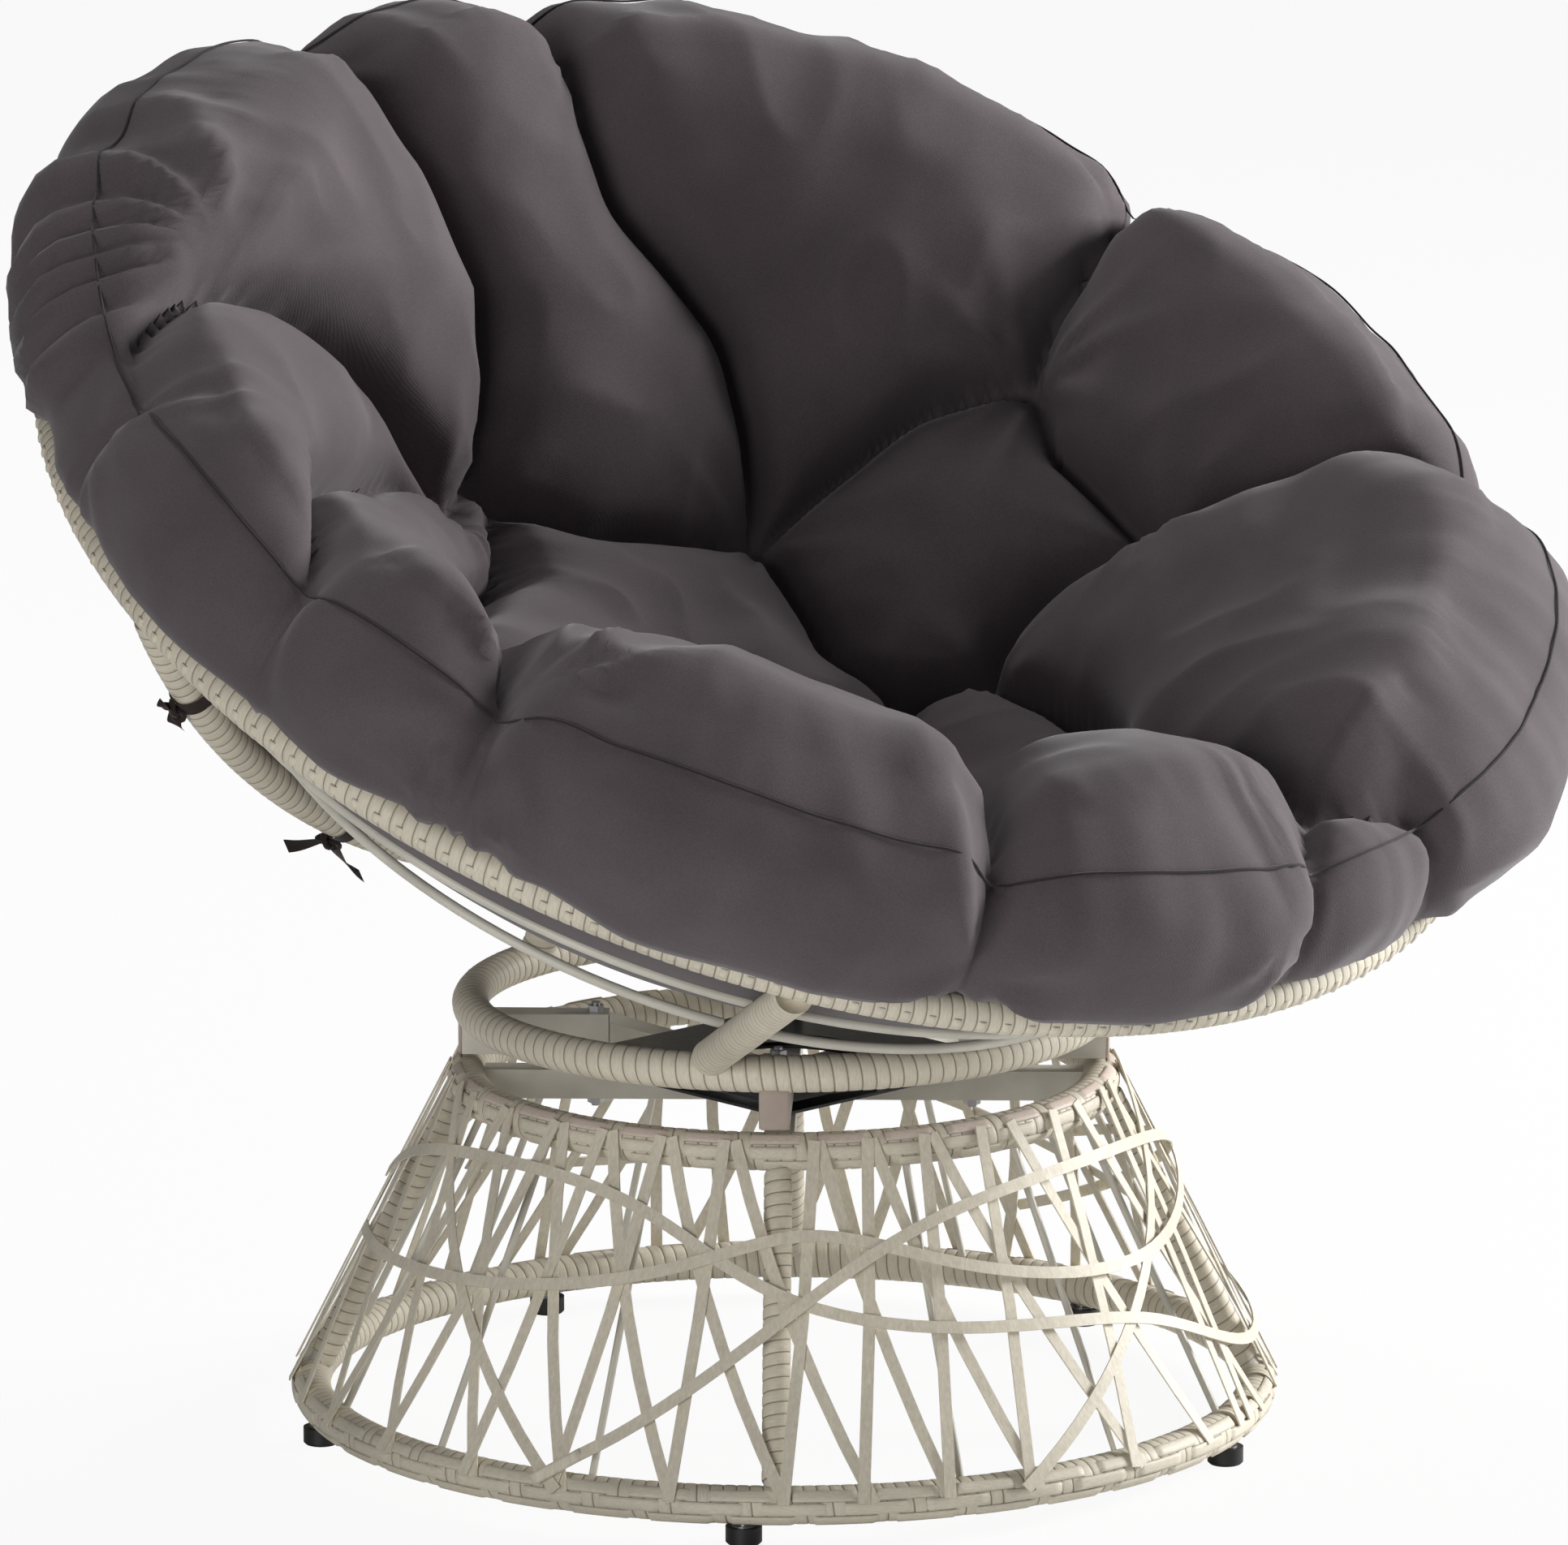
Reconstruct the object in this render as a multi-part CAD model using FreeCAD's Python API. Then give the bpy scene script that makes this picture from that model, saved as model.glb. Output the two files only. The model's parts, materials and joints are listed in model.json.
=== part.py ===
"""Round swivel chair: a tilted bowl frame with a tufted cushion on a woven drum base.

All lengths are millimetres and +Z is up. The origin is on the swivel axis at floor level,
the chair faces -Y and its own right-hand side, seen from the front, is +X.
Angles named plan angles are measured around the swivel axis from -Y towards +X.
Angles named rim angles are measured around the bowl axis from +X towards the high back.
"""
import FreeCAD
import Part
import math
import os

from FreeCAD import Vector

# Tubes, wires and their wicker wrapping
TUBE_RADIUS = 11.0
TUBE_WALL = 1.2
WRAP_GAP = 0.2
FRAME_WRAP = 1.4
BASE_WRAP = 1.8
LEG_RADIUS = 8.0
LEG_WRAP = 1.1
ROD_RADIUS = 2.5
WIRE_RADIUS = 3.5
RIB_RADIUS = 4.0
JOINT_GAP = 0.3
WELD_GAP = 0.1

# Woven drum base
FOOT_HEIGHT = 13.0
FOOT_RADIUS = 12.0
FOOT_COUNT = 5
FOOT_TURN = -3.7
STEM_RADIUS = 4.0
STEM_FLANGE_RADIUS = 8.0
STEM_FLANGE = 0.8
STEM_DEPTH = 5.0
BOTTOM_RING_RADIUS = 320.0
TOP_RING_RADIUS = 213.3
DRUM_RISE = 211.0
BASE_TURN = -44.3
LEG_COUNT = 4
RODS_BETWEEN_LEGS = 3

# Cross bars under the swivel
BAR_WIDTH = 20.0
BAR_HEIGHT = 20.0
BAR_WALL = 1.5
BAR_ABOVE_RING = 5.5
BAR_END_INSET = 6.0
BRACE_ANGLE = 140.0

# Woven strips of the drum
STRIP_WIDTH = 8.0
STRIP_THICKNESS = 1.2
STRIP_GAP = 0.25
STRIP_STEP = 3.0
STRIP_OVERRUN = 3.0

# Ball-bearing swivel
PLATE_SIDE = 200.0
PLATE_THICKNESS = 2.0
PLATE_CORNER = 6.0
PLATE_BORE_RADIUS = 55.0
PLATE_SPACING = 6.0
BALL_RADIUS = 3.15
BALL_CIRCLE_RADIUS = 60.0
BALL_COUNT = 12
BALL_CLEARANCE = 0.1
CAGE_HALF_WIDTH = 4.5
CAGE_THICKNESS = 1.2
CAGE_POCKET_CLEARANCE = 0.15
LOCK_NECK_RADIUS = 80.0
LOCK_WALL = 2.0
LOCK_FLANGE = 6.5
LOCK_FLANGE_THICKNESS = 1.6
LOCK_RADIAL_CLEARANCE = 1.5
LOCK_AXIAL_CLEARANCE = 0.8
LOCK_FLANGE_TOP_BELOW_BALLS = 0.2
LOCK_LIP_THICKNESS = 1.3
BOLT_CIRCLE_RADIUS = 127.0
BOLT_RADIUS = 3.0
BOLT_HOLE_RADIUS = 3.3
BOLT_HEAD_RADIUS = 6.5
BOLT_HEAD_TOP_RADIUS = 3.9
BOLT_HEAD_HEIGHT = 2.4
BOLT_END = 2.0
NUT_ACROSS_FLATS = 10.0
NUT_HEIGHT = 4.5

# Seat ring and the arms that carry it on the upper plate
SEAT_RING_RADIUS = 211.2
SEAT_ARM_WIDTH = 20.0
SEAT_ARM_HEIGHT = 28.0
SEAT_ARM_START = 118.0
SEAT_ARM_OVERRUN = 5.8
SEAT_RING_ABOVE_ARMS = 8.5

# Bowl frame
RIM_RADIUS = 497.0
RIM_ABOVE_SEAT_RING = 296.0
RIM_SETBACK = 16.0
RIM_TILT = 26.8
STRUT_FOOT_ANGLE = 57.0
STRUT_FOOT_LIFT = 8.0
STRUT_RIM_ANGLE = 52.4
STRUT_TOP_DROP = 12.0
CRADLE_RIM_ANGLE = 7.6
CRADLE_SAG = 260.5
CRADLE_LEAN = 20.1
POST_OFFSET = 40.0
RIB_OFFSET = 75.0

# Wire hoops of the bowl
UPPER_HOOP_INSET = 89.1
UPPER_HOOP_DROP = 81.8
UPPER_HOOP_SIDE_INSET = 80.7
MIDDLE_HOOP_SEAT_ANGLE = 43.5
MIDDLE_HOOP_SIDE_INSET = 150.9
LOWER_HOOP_SIDE_INSET = 198.1
LOWER_HOOP_INSET = 254.5
LOWER_HOOP_DROP = 185.3

# Cushion
CUSHION_OVERHANG = 38.0
CUSHION_EDGE_HEIGHT = 85.0
CUSHION_CREST_HEIGHT = 148.0
CUSHION_CREST_INSET = 47.0
CUSHION_SEAT_RADIUS = 220.0
CUSHION_SEAT_HEIGHT = -5.0
CUSHION_CENTRE_HEIGHT = -88.0
CUSHION_SAG = 104.0
CUSHION_LOW_BULGE = (7.0, -4.0)
CUSHION_HIGH_BULGE = (14.0, 12.0)
CUSHION_INNER_BULGE = (-14.0, 24.0)
CUSHION_CLEARANCE = 0.5
CUSHION_RIM_CLEARANCE = 2.0
# Where the cushion lies round the rim, in sleeve radii out from the rim line and up from it
CUSHION_ROUND_RIM = ((-1.1, 0.55), (0.05, 1.1))
CUSHION_OUTSIDE_RISE = 1.75
HOOP_TO_CUSHION = (-0.66, 0.75)
TIE_WIDTH = 12.0
TIE_THICKNESS = 1.2
TIE_END_GAP = 4.0
TIE_TAIL = 38.0
TIE_CRADLE_ANGLES = (47.0, 27.0)

# The swivel axis lies this far behind the middle of the chair's outline, where the model's origin is
AXIS_SETBACK = 14.5

# Heights and places that follow from the sizes above, taken from the swivel axis
PERCENT = 100.0
UP = Vector(0, 0, 1)
RIGHT = Vector(1, 0, 0)
ORIGIN = Vector(0, 0, 0)
FRAME_SLEEVE = TUBE_RADIUS + WRAP_GAP + FRAME_WRAP
BASE_SLEEVE = TUBE_RADIUS + WRAP_GAP + BASE_WRAP
LEG_SLEEVE = LEG_RADIUS + WRAP_GAP + LEG_WRAP
BOTTOM_RING_Z = FOOT_HEIGHT + BASE_SLEEVE
TOP_RING_Z = BOTTOM_RING_Z + DRUM_RISE
DRUM_SLOPE = math.atan2(BOTTOM_RING_RADIUS - TOP_RING_RADIUS, DRUM_RISE)
BAR_TOP_Z = TOP_RING_Z + BAR_ABOVE_RING
BAR_BOTTOM_Z = BAR_TOP_Z - BAR_HEIGHT
LOWER_PLATE_TOP_Z = BAR_TOP_Z + PLATE_THICKNESS
UPPER_PLATE_Z = LOWER_PLATE_TOP_Z + PLATE_SPACING
UPPER_PLATE_TOP_Z = UPPER_PLATE_Z + PLATE_THICKNESS
BALL_Z = (LOWER_PLATE_TOP_Z + UPPER_PLATE_Z) / 2
SEAT_ARM_TOP_Z = UPPER_PLATE_TOP_Z + SEAT_ARM_HEIGHT
SEAT_RING_Z = SEAT_ARM_TOP_Z + SEAT_RING_ABOVE_ARMS
RIM_CENTRE = Vector(0, RIM_SETBACK, SEAT_RING_Z + RIM_ABOVE_SEAT_RING)
TILT = math.radians(RIM_TILT)
BOWL_AXIS = Vector(0, -math.sin(TILT), math.cos(TILT))
BOWL_BACK = Vector(0, math.cos(TILT), math.sin(TILT))
CRADLE_HALF_SPAN = RIM_RADIUS * math.cos(math.radians(CRADLE_RIM_ANGLE))
CRADLE_RADIUS = (CRADLE_HALF_SPAN ** 2 + CRADLE_SAG ** 2) / (2 * CRADLE_SAG)

# Woven strips, each as its plan angles at the top and at the bottom ring. The drum's front is 0.
RIGHT_LEANING_STRIPS = (
    (-66, -51), (-53, -37), (-39, -25), (-29, -12), (-18, 1), (-7, 11), (7, 20),
    (16, 31), (27, 46), (43, 59), (61, 75))
LEFT_LEANING_STRIPS = (
    (-54, -65), (-41, -52), (-31, -38), (-20, -26), (-9, -12), (6, 1), (15, 10),
    (25, 20), (36, 30), (53, 45), (71, 67))
FAR_STRIPS_START = 76.0
FAR_STRIPS_END = 282.0
FAR_STRIP_COUNT = 17
FAR_STRIP_WAVER = 2.5
FAR_STRIP_WAVER_STEP = 2.3
FAR_RIGHT_LEAN = 15.0
FAR_LEFT_LEAN = -6.0
LONG_STRIPS = ((-71, -26), (89, 30))
# Bands that run round the drum, as plan angle and share of the rise from the bottom to the top ring
UPPER_BAND = (
    (-90, 0.64), (-55, 0.86), (-24, 0.82), (2, 0.56), (23, 0.46), (56, 0.37), (80, 0.17),
    (120, 0.30), (160, 0.62), (205, 0.78), (240, 0.58))
MIDDLE_BAND = (
    (-83, 0.50), (-58, 0.50), (-13, 0.65), (4, 0.74), (24, 0.65), (63, 0.55), (95, 0.68),
    (140, 0.52), (185, 0.36), (230, 0.44))
RISING_BAND = ((-23, 0.09), (2, 0.52), (26, 0.78), (55, 0.85), (78, 0.82), (110, 0.60), (150, 0.20))


def plan_point(angle, radius, z):
    """Point at a plan angle, a distance from the swivel axis and a height."""
    turn = math.radians(angle)
    return Vector(radius * math.sin(turn), -radius * math.cos(turn), z)


def rim_point(angle, radius=RIM_RADIUS, height=0.0):
    """Point of the bowl at a rim angle, a distance from the bowl axis and a height along it."""
    turn = math.radians(angle)
    across = RIGHT * (radius * math.cos(turn))
    back = BOWL_BACK * (radius * math.sin(turn))
    return RIM_CENTRE + across + back + BOWL_AXIS * height


def bowl_coordinates(point):
    """Distance from the bowl axis, and height along it above the rim plane."""
    offset = point - RIM_CENTRE
    height = offset.dot(BOWL_AXIS)
    return (offset - BOWL_AXIS * height).Length, height


def largest(shape):
    """The largest solid of a cut."""
    return max(shape.Solids, key=lambda solid: solid.Volume)


def rod(start, end, radius):
    """Round bar between two points."""
    return Part.makeCylinder(radius, (end - start).Length, start, end - start)


def pipe(start, end, radius, wall):
    """Round tube between two points, open at both ends."""
    return rod(start, end, radius).cut(rod(start, end, radius - wall))


def hoop(radius, section, z):
    """Level ring of round section about the swivel axis."""
    return Part.makeTorus(radius, section, Vector(0, 0, z), UP)


def rim_hoop(section):
    """Ring of round section along the rim of the bowl."""
    return Part.makeTorus(RIM_RADIUS, section, RIM_CENTRE, BOWL_AXIS)


def bent_rod(arc, radius):
    """Round bar along a circular arc."""
    edge = arc.toShape()
    start = edge.valueAt(edge.FirstParameter)
    tangent = edge.tangentAt(edge.FirstParameter)
    section = Part.Face(Part.Wire(Part.makeCircle(radius, start, tangent)))
    sweep = math.degrees(edge.LastParameter - edge.FirstParameter)
    return section.revolve(edge.Curve.Center, edge.Curve.Axis, sweep)


def bar_box(angle, start, end, bottom, top, width):
    """Rectangular bar along a plan angle, from one distance from the axis to another."""
    box = Part.makeBox(width, end - start, top - bottom, Vector(-width / 2, start, bottom))
    box.rotate(ORIGIN, UP, angle + 180.0)
    return box


def hollow_bar(angle, start, end, bottom, top, width):
    """Rectangular tube along a plan angle."""
    bore = bar_box(angle, start - 1, end + 1, bottom + BAR_WALL, top - BAR_WALL, width - 2 * BAR_WALL)
    return bar_box(angle, start, end, bottom, top, width).cut(bore)


def regular_prism(across_flats, height, centre):
    """Hexagonal prism that stands on its centre point."""
    radius = across_flats / math.sqrt(3)
    turns = [math.radians(60 * k) for k in range(7)]
    corners = [centre + Vector(radius * math.cos(t), radius * math.sin(t), 0) for t in turns]
    return Part.Face(Part.makePolygon(corners)).extrude(UP * height)


def turn_angles(count, start=0.0):
    """Equal steps round the swivel axis."""
    return [start + 360.0 * k / count for k in range(count)]


def drum_point(angle, share, standoff):
    """Point on the drum at a share of its rise, a standoff out from the line of ring centres."""
    radius = BOTTOM_RING_RADIUS + share * (TOP_RING_RADIUS - BOTTOM_RING_RADIUS)
    z = BOTTOM_RING_Z + share * DRUM_RISE
    return plan_point(angle, radius + standoff * math.cos(DRUM_SLOPE), z + standoff * math.sin(DRUM_SLOPE))


def strip(route, layer):
    """Flat strip along a route of (plan angle, share) points, lying on the drum in one layer."""
    standoff = BASE_SLEEVE + STRIP_GAP + layer * (STRIP_THICKNESS + STRIP_GAP)
    sections = []
    for k, (angle, share) in enumerate(route):
        before = route[max(k - 1, 0)]
        after = route[min(k + 1, len(route) - 1)]
        along = drum_point(after[0], after[1], standoff) - drum_point(before[0], before[1], standoff)
        inner = drum_point(angle, share, standoff)
        outer = drum_point(angle, share, standoff + STRIP_THICKNESS)
        side = (outer - inner).cross(along).normalize() * (STRIP_WIDTH / 2)
        corners = [inner - side, inner + side, outer + side, outer - side, inner - side]
        sections.append(Part.makePolygon(corners))
    return Part.makeLoft(sections, True, True)


def upright_strip(top_angle, bottom_angle, layer):
    """Strip from ring to ring."""
    overrun = STRIP_OVERRUN / DRUM_RISE
    steps = max(2, math.ceil(abs(top_angle - bottom_angle) / STRIP_STEP))
    route = []
    for k in range(steps + 1):
        share = -overrun + (1 + 2 * overrun) * k / steps
        route.append((bottom_angle + (top_angle - bottom_angle) * share, share))
    return strip(route, layer)


def band_strip(points, layer):
    """Strip along a smooth curve through a few points, laid round the drum."""
    curve = Part.BSplineCurve()
    curve.interpolate([Vector(angle, PERCENT * share, 0) for angle, share in points])
    span = points[-1][0] - points[0][0]
    steps = math.ceil(span / STRIP_STEP)
    first, last = curve.FirstParameter, curve.LastParameter
    route = []
    for k in range(steps + 1):
        place = curve.value(first + (last - first) * k / steps)
        route.append((place.x, place.y / PERCENT))
    return strip(route, layer)


def far_strips(lean):
    """Strips of one lean round the far side of the drum."""
    pitch = (FAR_STRIPS_END - FAR_STRIPS_START) / (FAR_STRIP_COUNT - 1)
    wavers = [FAR_STRIP_WAVER * math.sin(FAR_STRIP_WAVER_STEP * k) for k in range(FAR_STRIP_COUNT)]
    tops = [FAR_STRIPS_START + pitch * k + waver for k, waver in enumerate(wavers)]
    return [(top, top + lean) for top in tops]


def leg_line(angle):
    """Centres of the two rings at a plan angle."""
    return plan_point(angle, BOTTOM_RING_RADIUS, BOTTOM_RING_Z), plan_point(angle, TOP_RING_RADIUS, TOP_RING_Z)


def rod_angles():
    """Plan angles of the thin rods between the legs."""
    pitch = 360.0 / LEG_COUNT / (RODS_BETWEEN_LEGS + 1)
    steps = [leg * (RODS_BETWEEN_LEGS + 1) + k + 1 for leg in range(LEG_COUNT) for k in range(RODS_BETWEEN_LEGS)]
    return [pitch * step for step in steps]


def make_cross_bars():
    """Bars across the top ring, without the bolt holes."""
    reach = TOP_RING_RADIUS - BAR_END_INSET
    ring = hoop(TOP_RING_RADIUS, TUBE_RADIUS + WELD_GAP, TOP_RING_Z)
    levels = (BAR_BOTTOM_Z, BAR_TOP_Z, BAR_WIDTH)
    bars = {
        "cross_bar": hollow_bar(90, -reach, reach, *levels),
        "cross_arm_front": hollow_bar(0, BAR_WIDTH / 2, reach, *levels),
        "cross_arm_back": hollow_bar(180, BAR_WIDTH / 2, reach, *levels)}
    across = bar_box(90, -reach, reach, *levels)
    back = bar_box(180, 0, reach, *levels)
    for name, angle in (("cross_brace_left", -BRACE_ANGLE), ("cross_brace_right", BRACE_ANGLE)):
        bars[name] = hollow_bar(angle, 0, reach, *levels).cut(across).cut(back)
    return {name: largest(bar.cut(ring)) for name, bar in bars.items()}


def make_base_frame():
    """Rings, legs, rods and cross bars of the drum, each with its wicker sleeve."""
    bottom = hoop(BOTTOM_RING_RADIUS, TUBE_RADIUS, BOTTOM_RING_Z)
    top = hoop(TOP_RING_RADIUS, TUBE_RADIUS, TOP_RING_Z)
    welds = [hoop(BOTTOM_RING_RADIUS, TUBE_RADIUS + WELD_GAP, BOTTOM_RING_Z),
             hoop(TOP_RING_RADIUS, TUBE_RADIUS + WELD_GAP, TOP_RING_Z)]
    bottom_sleeve = hoop(BOTTOM_RING_RADIUS, BASE_SLEEVE, BOTTOM_RING_Z)
    top_sleeve = hoop(TOP_RING_RADIUS, BASE_SLEEVE, TOP_RING_Z)
    nodes = {
        "bottom_ring_tube": bottom.cut(hoop(BOTTOM_RING_RADIUS, TUBE_RADIUS - TUBE_WALL, BOTTOM_RING_Z)),
        "top_ring_tube": top.cut(hoop(TOP_RING_RADIUS, TUBE_RADIUS - TUBE_WALL, TOP_RING_Z))}
    notches = []
    for number, angle in enumerate(turn_angles(LEG_COUNT), 1):
        foot, head = leg_line(angle)
        leg = pipe(foot, head, LEG_RADIUS, TUBE_WALL)
        nodes["base_leg_%d" % number] = largest(leg.cut(welds))
        sleeve = pipe(foot, head, LEG_SLEEVE, LEG_WRAP)
        nodes["base_leg_wrap_%d" % number] = largest(sleeve.cut([bottom_sleeve, top_sleeve]))
        notches.append(rod(foot, head, LEG_RADIUS + JOINT_GAP))
    rods = []
    for angle in rod_angles():
        foot, head = leg_line(angle)
        rods.append(largest(rod(foot, head, ROD_RADIUS).cut(welds)))
        notches.append(rod(foot, head, ROD_RADIUS + JOINT_GAP))
    nodes["base_rods"] = Part.makeCompound(rods)
    bars = make_cross_bars()
    for angle in (0, 90, 180, 270, BRACE_ANGLE, -BRACE_ANGLE):
        notches.append(bar_box(angle, TOP_RING_RADIUS / 2, TOP_RING_RADIUS, BAR_BOTTOM_Z - JOINT_GAP,
                               BAR_TOP_Z + JOINT_GAP, BAR_WIDTH + 2 * JOINT_GAP))
    stems = [rod(foot, foot + UP * STEM_DEPTH * 2, STEM_RADIUS + JOINT_GAP) for foot in stem_feet()]
    bottom_hollow = hoop(BOTTOM_RING_RADIUS, TUBE_RADIUS + WRAP_GAP, BOTTOM_RING_Z)
    top_hollow = hoop(TOP_RING_RADIUS, TUBE_RADIUS + WRAP_GAP, TOP_RING_Z)
    nodes["bottom_ring_wrap"] = largest(bottom_sleeve.cut(bottom_hollow).cut(notches + stems))
    nodes["top_ring_wrap"] = largest(top_sleeve.cut(top_hollow).cut(notches))
    holes = bolt_holes(BAR_BOTTOM_Z - 1, BAR_TOP_Z + 1, turn_angles(4))
    for name, bar in bars.items():
        nodes[name] = bar.cut(holes)
    return nodes


def stem_feet():
    """Lower ends of the foot stems."""
    angles = turn_angles(FOOT_COUNT, FOOT_TURN)
    return [plan_point(angle, BOTTOM_RING_RADIUS, FOOT_HEIGHT - STEM_DEPTH) for angle in angles]


def make_feet():
    """Screw stems with a flange, and the plastic glides pushed on to them."""
    tube = hoop(BOTTOM_RING_RADIUS, TUBE_RADIUS + WELD_GAP, BOTTOM_RING_Z)
    stems, caps = [], []
    cap_height = FOOT_HEIGHT - STEM_FLANGE - JOINT_GAP
    chamfer = FOOT_RADIUS / 8
    for foot in stem_feet():
        floor = Vector(foot.x, foot.y, 0)
        stem = rod(foot, floor + UP * BOTTOM_RING_Z, STEM_RADIUS)
        flange = Part.makeCylinder(STEM_FLANGE_RADIUS, STEM_FLANGE, floor + UP * cap_height)
        stems.append(largest(stem.fuse(flange).cut(tube)))
        bottom = Part.makeCone(FOOT_RADIUS - chamfer, FOOT_RADIUS, chamfer, floor)
        body = Part.makeCylinder(FOOT_RADIUS, cap_height - chamfer, floor + UP * chamfer)
        bore = rod(foot - UP * WRAP_GAP, foot + UP * FOOT_HEIGHT, STEM_RADIUS + WRAP_GAP / 2)
        caps.append(bottom.fuse(body).cut(bore).removeSplitter())
    return {"foot_stems": Part.makeCompound(stems), "foot_caps": Part.makeCompound(caps)}


def make_lattice():
    """Woven strips round the drum, in layers that do not cross within themselves."""
    right = [upright_strip(top, bottom, 0) for top, bottom in RIGHT_LEANING_STRIPS]
    right += [upright_strip(top, bottom, 0) for top, bottom in far_strips(FAR_RIGHT_LEAN)]
    left = [upright_strip(top, bottom, 1) for top, bottom in LEFT_LEANING_STRIPS]
    left += [upright_strip(top, bottom, 1) for top, bottom in far_strips(FAR_LEFT_LEAN)]
    return {
        "lattice_right_leaning_strips": Part.makeCompound(right),
        "lattice_left_leaning_strips": Part.makeCompound(left),
        "lattice_long_strips": Part.makeCompound([upright_strip(a, b, 2) for a, b in LONG_STRIPS]),
        "lattice_upper_band": band_strip(UPPER_BAND, 3),
        "lattice_middle_band": band_strip(MIDDLE_BAND, 4),
        "lattice_rising_band": band_strip(RISING_BAND, 5)}


def bolt_holes(bottom, top, angles, radius=BOLT_HOLE_RADIUS):
    """Upright bores on the bolt circle."""
    return [rod(plan_point(a, BOLT_CIRCLE_RADIUS, bottom), plan_point(a, BOLT_CIRCLE_RADIUS, top), radius)
            for a in angles]


def race_groove():
    """Ring that the balls run in, cut into both plates."""
    return hoop(BALL_CIRCLE_RADIUS, BALL_RADIUS + BALL_CLEARANCE, BALL_Z)


def swivel_plate(bottom, turn, angles):
    """Square plate with rounded corners, a central opening, bolt holes and a ball race."""
    half = PLATE_SIDE / 2
    plate = Part.makeBox(PLATE_SIDE, PLATE_SIDE, PLATE_THICKNESS, Vector(-half, -half, bottom))
    upright = [e for e in plate.Edges if abs(e.tangentAt(e.FirstParameter).z) > 0.9]
    plate = plate.makeFillet(PLATE_CORNER, upright)
    plate.rotate(ORIGIN, UP, turn)
    bore = Part.makeCylinder(PLATE_BORE_RADIUS, PLATE_THICKNESS + 2, Vector(0, 0, bottom - 1))
    holes = bolt_holes(bottom - 1, bottom + PLATE_THICKNESS + 1, angles)
    return plate.cut([bore, race_groove()] + holes)


def flat_ring(inner, outer, bottom, top):
    """Flat ring about the swivel axis."""
    disc = Part.makeCylinder(outer, top - bottom, Vector(0, 0, bottom))
    return disc.cut(Part.makeCylinder(inner, top - bottom, Vector(0, 0, bottom)))


def truss_bolts(plate_face, direction, grip, angles):
    """Low-headed bolts whose heads lie on a plate face and whose shanks run through the grip."""
    bolts = []
    for angle in angles:
        seat = plan_point(angle, BOLT_CIRCLE_RADIUS, plate_face)
        head = Part.makeCone(BOLT_HEAD_RADIUS, BOLT_HEAD_TOP_RADIUS, BOLT_HEAD_HEIGHT, seat, -direction)
        shank = rod(seat, seat + direction * (grip + NUT_HEIGHT + BOLT_END), BOLT_RADIUS)
        bolts.append(head.fuse(shank))
    return Part.makeCompound(bolts)


def nuts(bottom, angles):
    """Hexagon nuts on the bolt circle."""
    result = []
    for angle in angles:
        centre = plan_point(angle, BOLT_CIRCLE_RADIUS, bottom)
        bore = rod(centre - UP, centre + UP * (NUT_HEIGHT + 1), BOLT_RADIUS + WRAP_GAP / 4)
        result.append(regular_prism(NUT_ACROSS_FLATS, NUT_HEIGHT, centre).cut(bore))
    return Part.makeCompound(result)


def make_swivel_base_side():
    """Lower plate with its lock ring and bolts. Its corners lie over the cross bars."""
    angles = turn_angles(4)
    flange_top = BALL_Z - LOCK_FLANGE_TOP_BELOW_BALLS
    inner = LOCK_NECK_RADIUS + LOCK_FLANGE + LOCK_RADIAL_CLEARANCE
    lip_bottom = flange_top + LOCK_AXIAL_CLEARANCE
    lip_top = lip_bottom + LOCK_LIP_THICKNESS
    wall = flat_ring(inner, inner + LOCK_WALL, LOWER_PLATE_TOP_Z, lip_top)
    lip = flat_ring(inner - LOCK_WALL * 2, inner + LOCK_WALL, lip_bottom, lip_top)
    return {
        "swivel_lower_plate": swivel_plate(BAR_TOP_Z, 45, angles),
        "swivel_lower_lock_ring": wall.fuse(lip).removeSplitter(),
        "swivel_lower_bolts": truss_bolts(LOWER_PLATE_TOP_Z, -UP, PLATE_THICKNESS + BAR_HEIGHT, angles),
        "swivel_lower_nuts": nuts(BAR_BOTTOM_Z - NUT_HEIGHT, angles)}


def make_swivel_cage():
    """Ring of balls and the cage that spaces them."""
    angles = turn_angles(BALL_COUNT)
    centres = [plan_point(a, BALL_CIRCLE_RADIUS, BALL_Z) for a in angles]
    half = CAGE_THICKNESS / 2
    cage = flat_ring(BALL_CIRCLE_RADIUS - CAGE_HALF_WIDTH, BALL_CIRCLE_RADIUS + CAGE_HALF_WIDTH,
                     BALL_Z - half, BALL_Z + half)
    pockets = [rod(c - UP * 2, c + UP * 2, BALL_RADIUS + CAGE_POCKET_CLEARANCE) for c in centres]
    balls = [Part.makeSphere(BALL_RADIUS, c) for c in centres]
    return {"swivel_ball_cage": cage.cut(pockets), "swivel_balls": Part.makeCompound(balls)}


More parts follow.
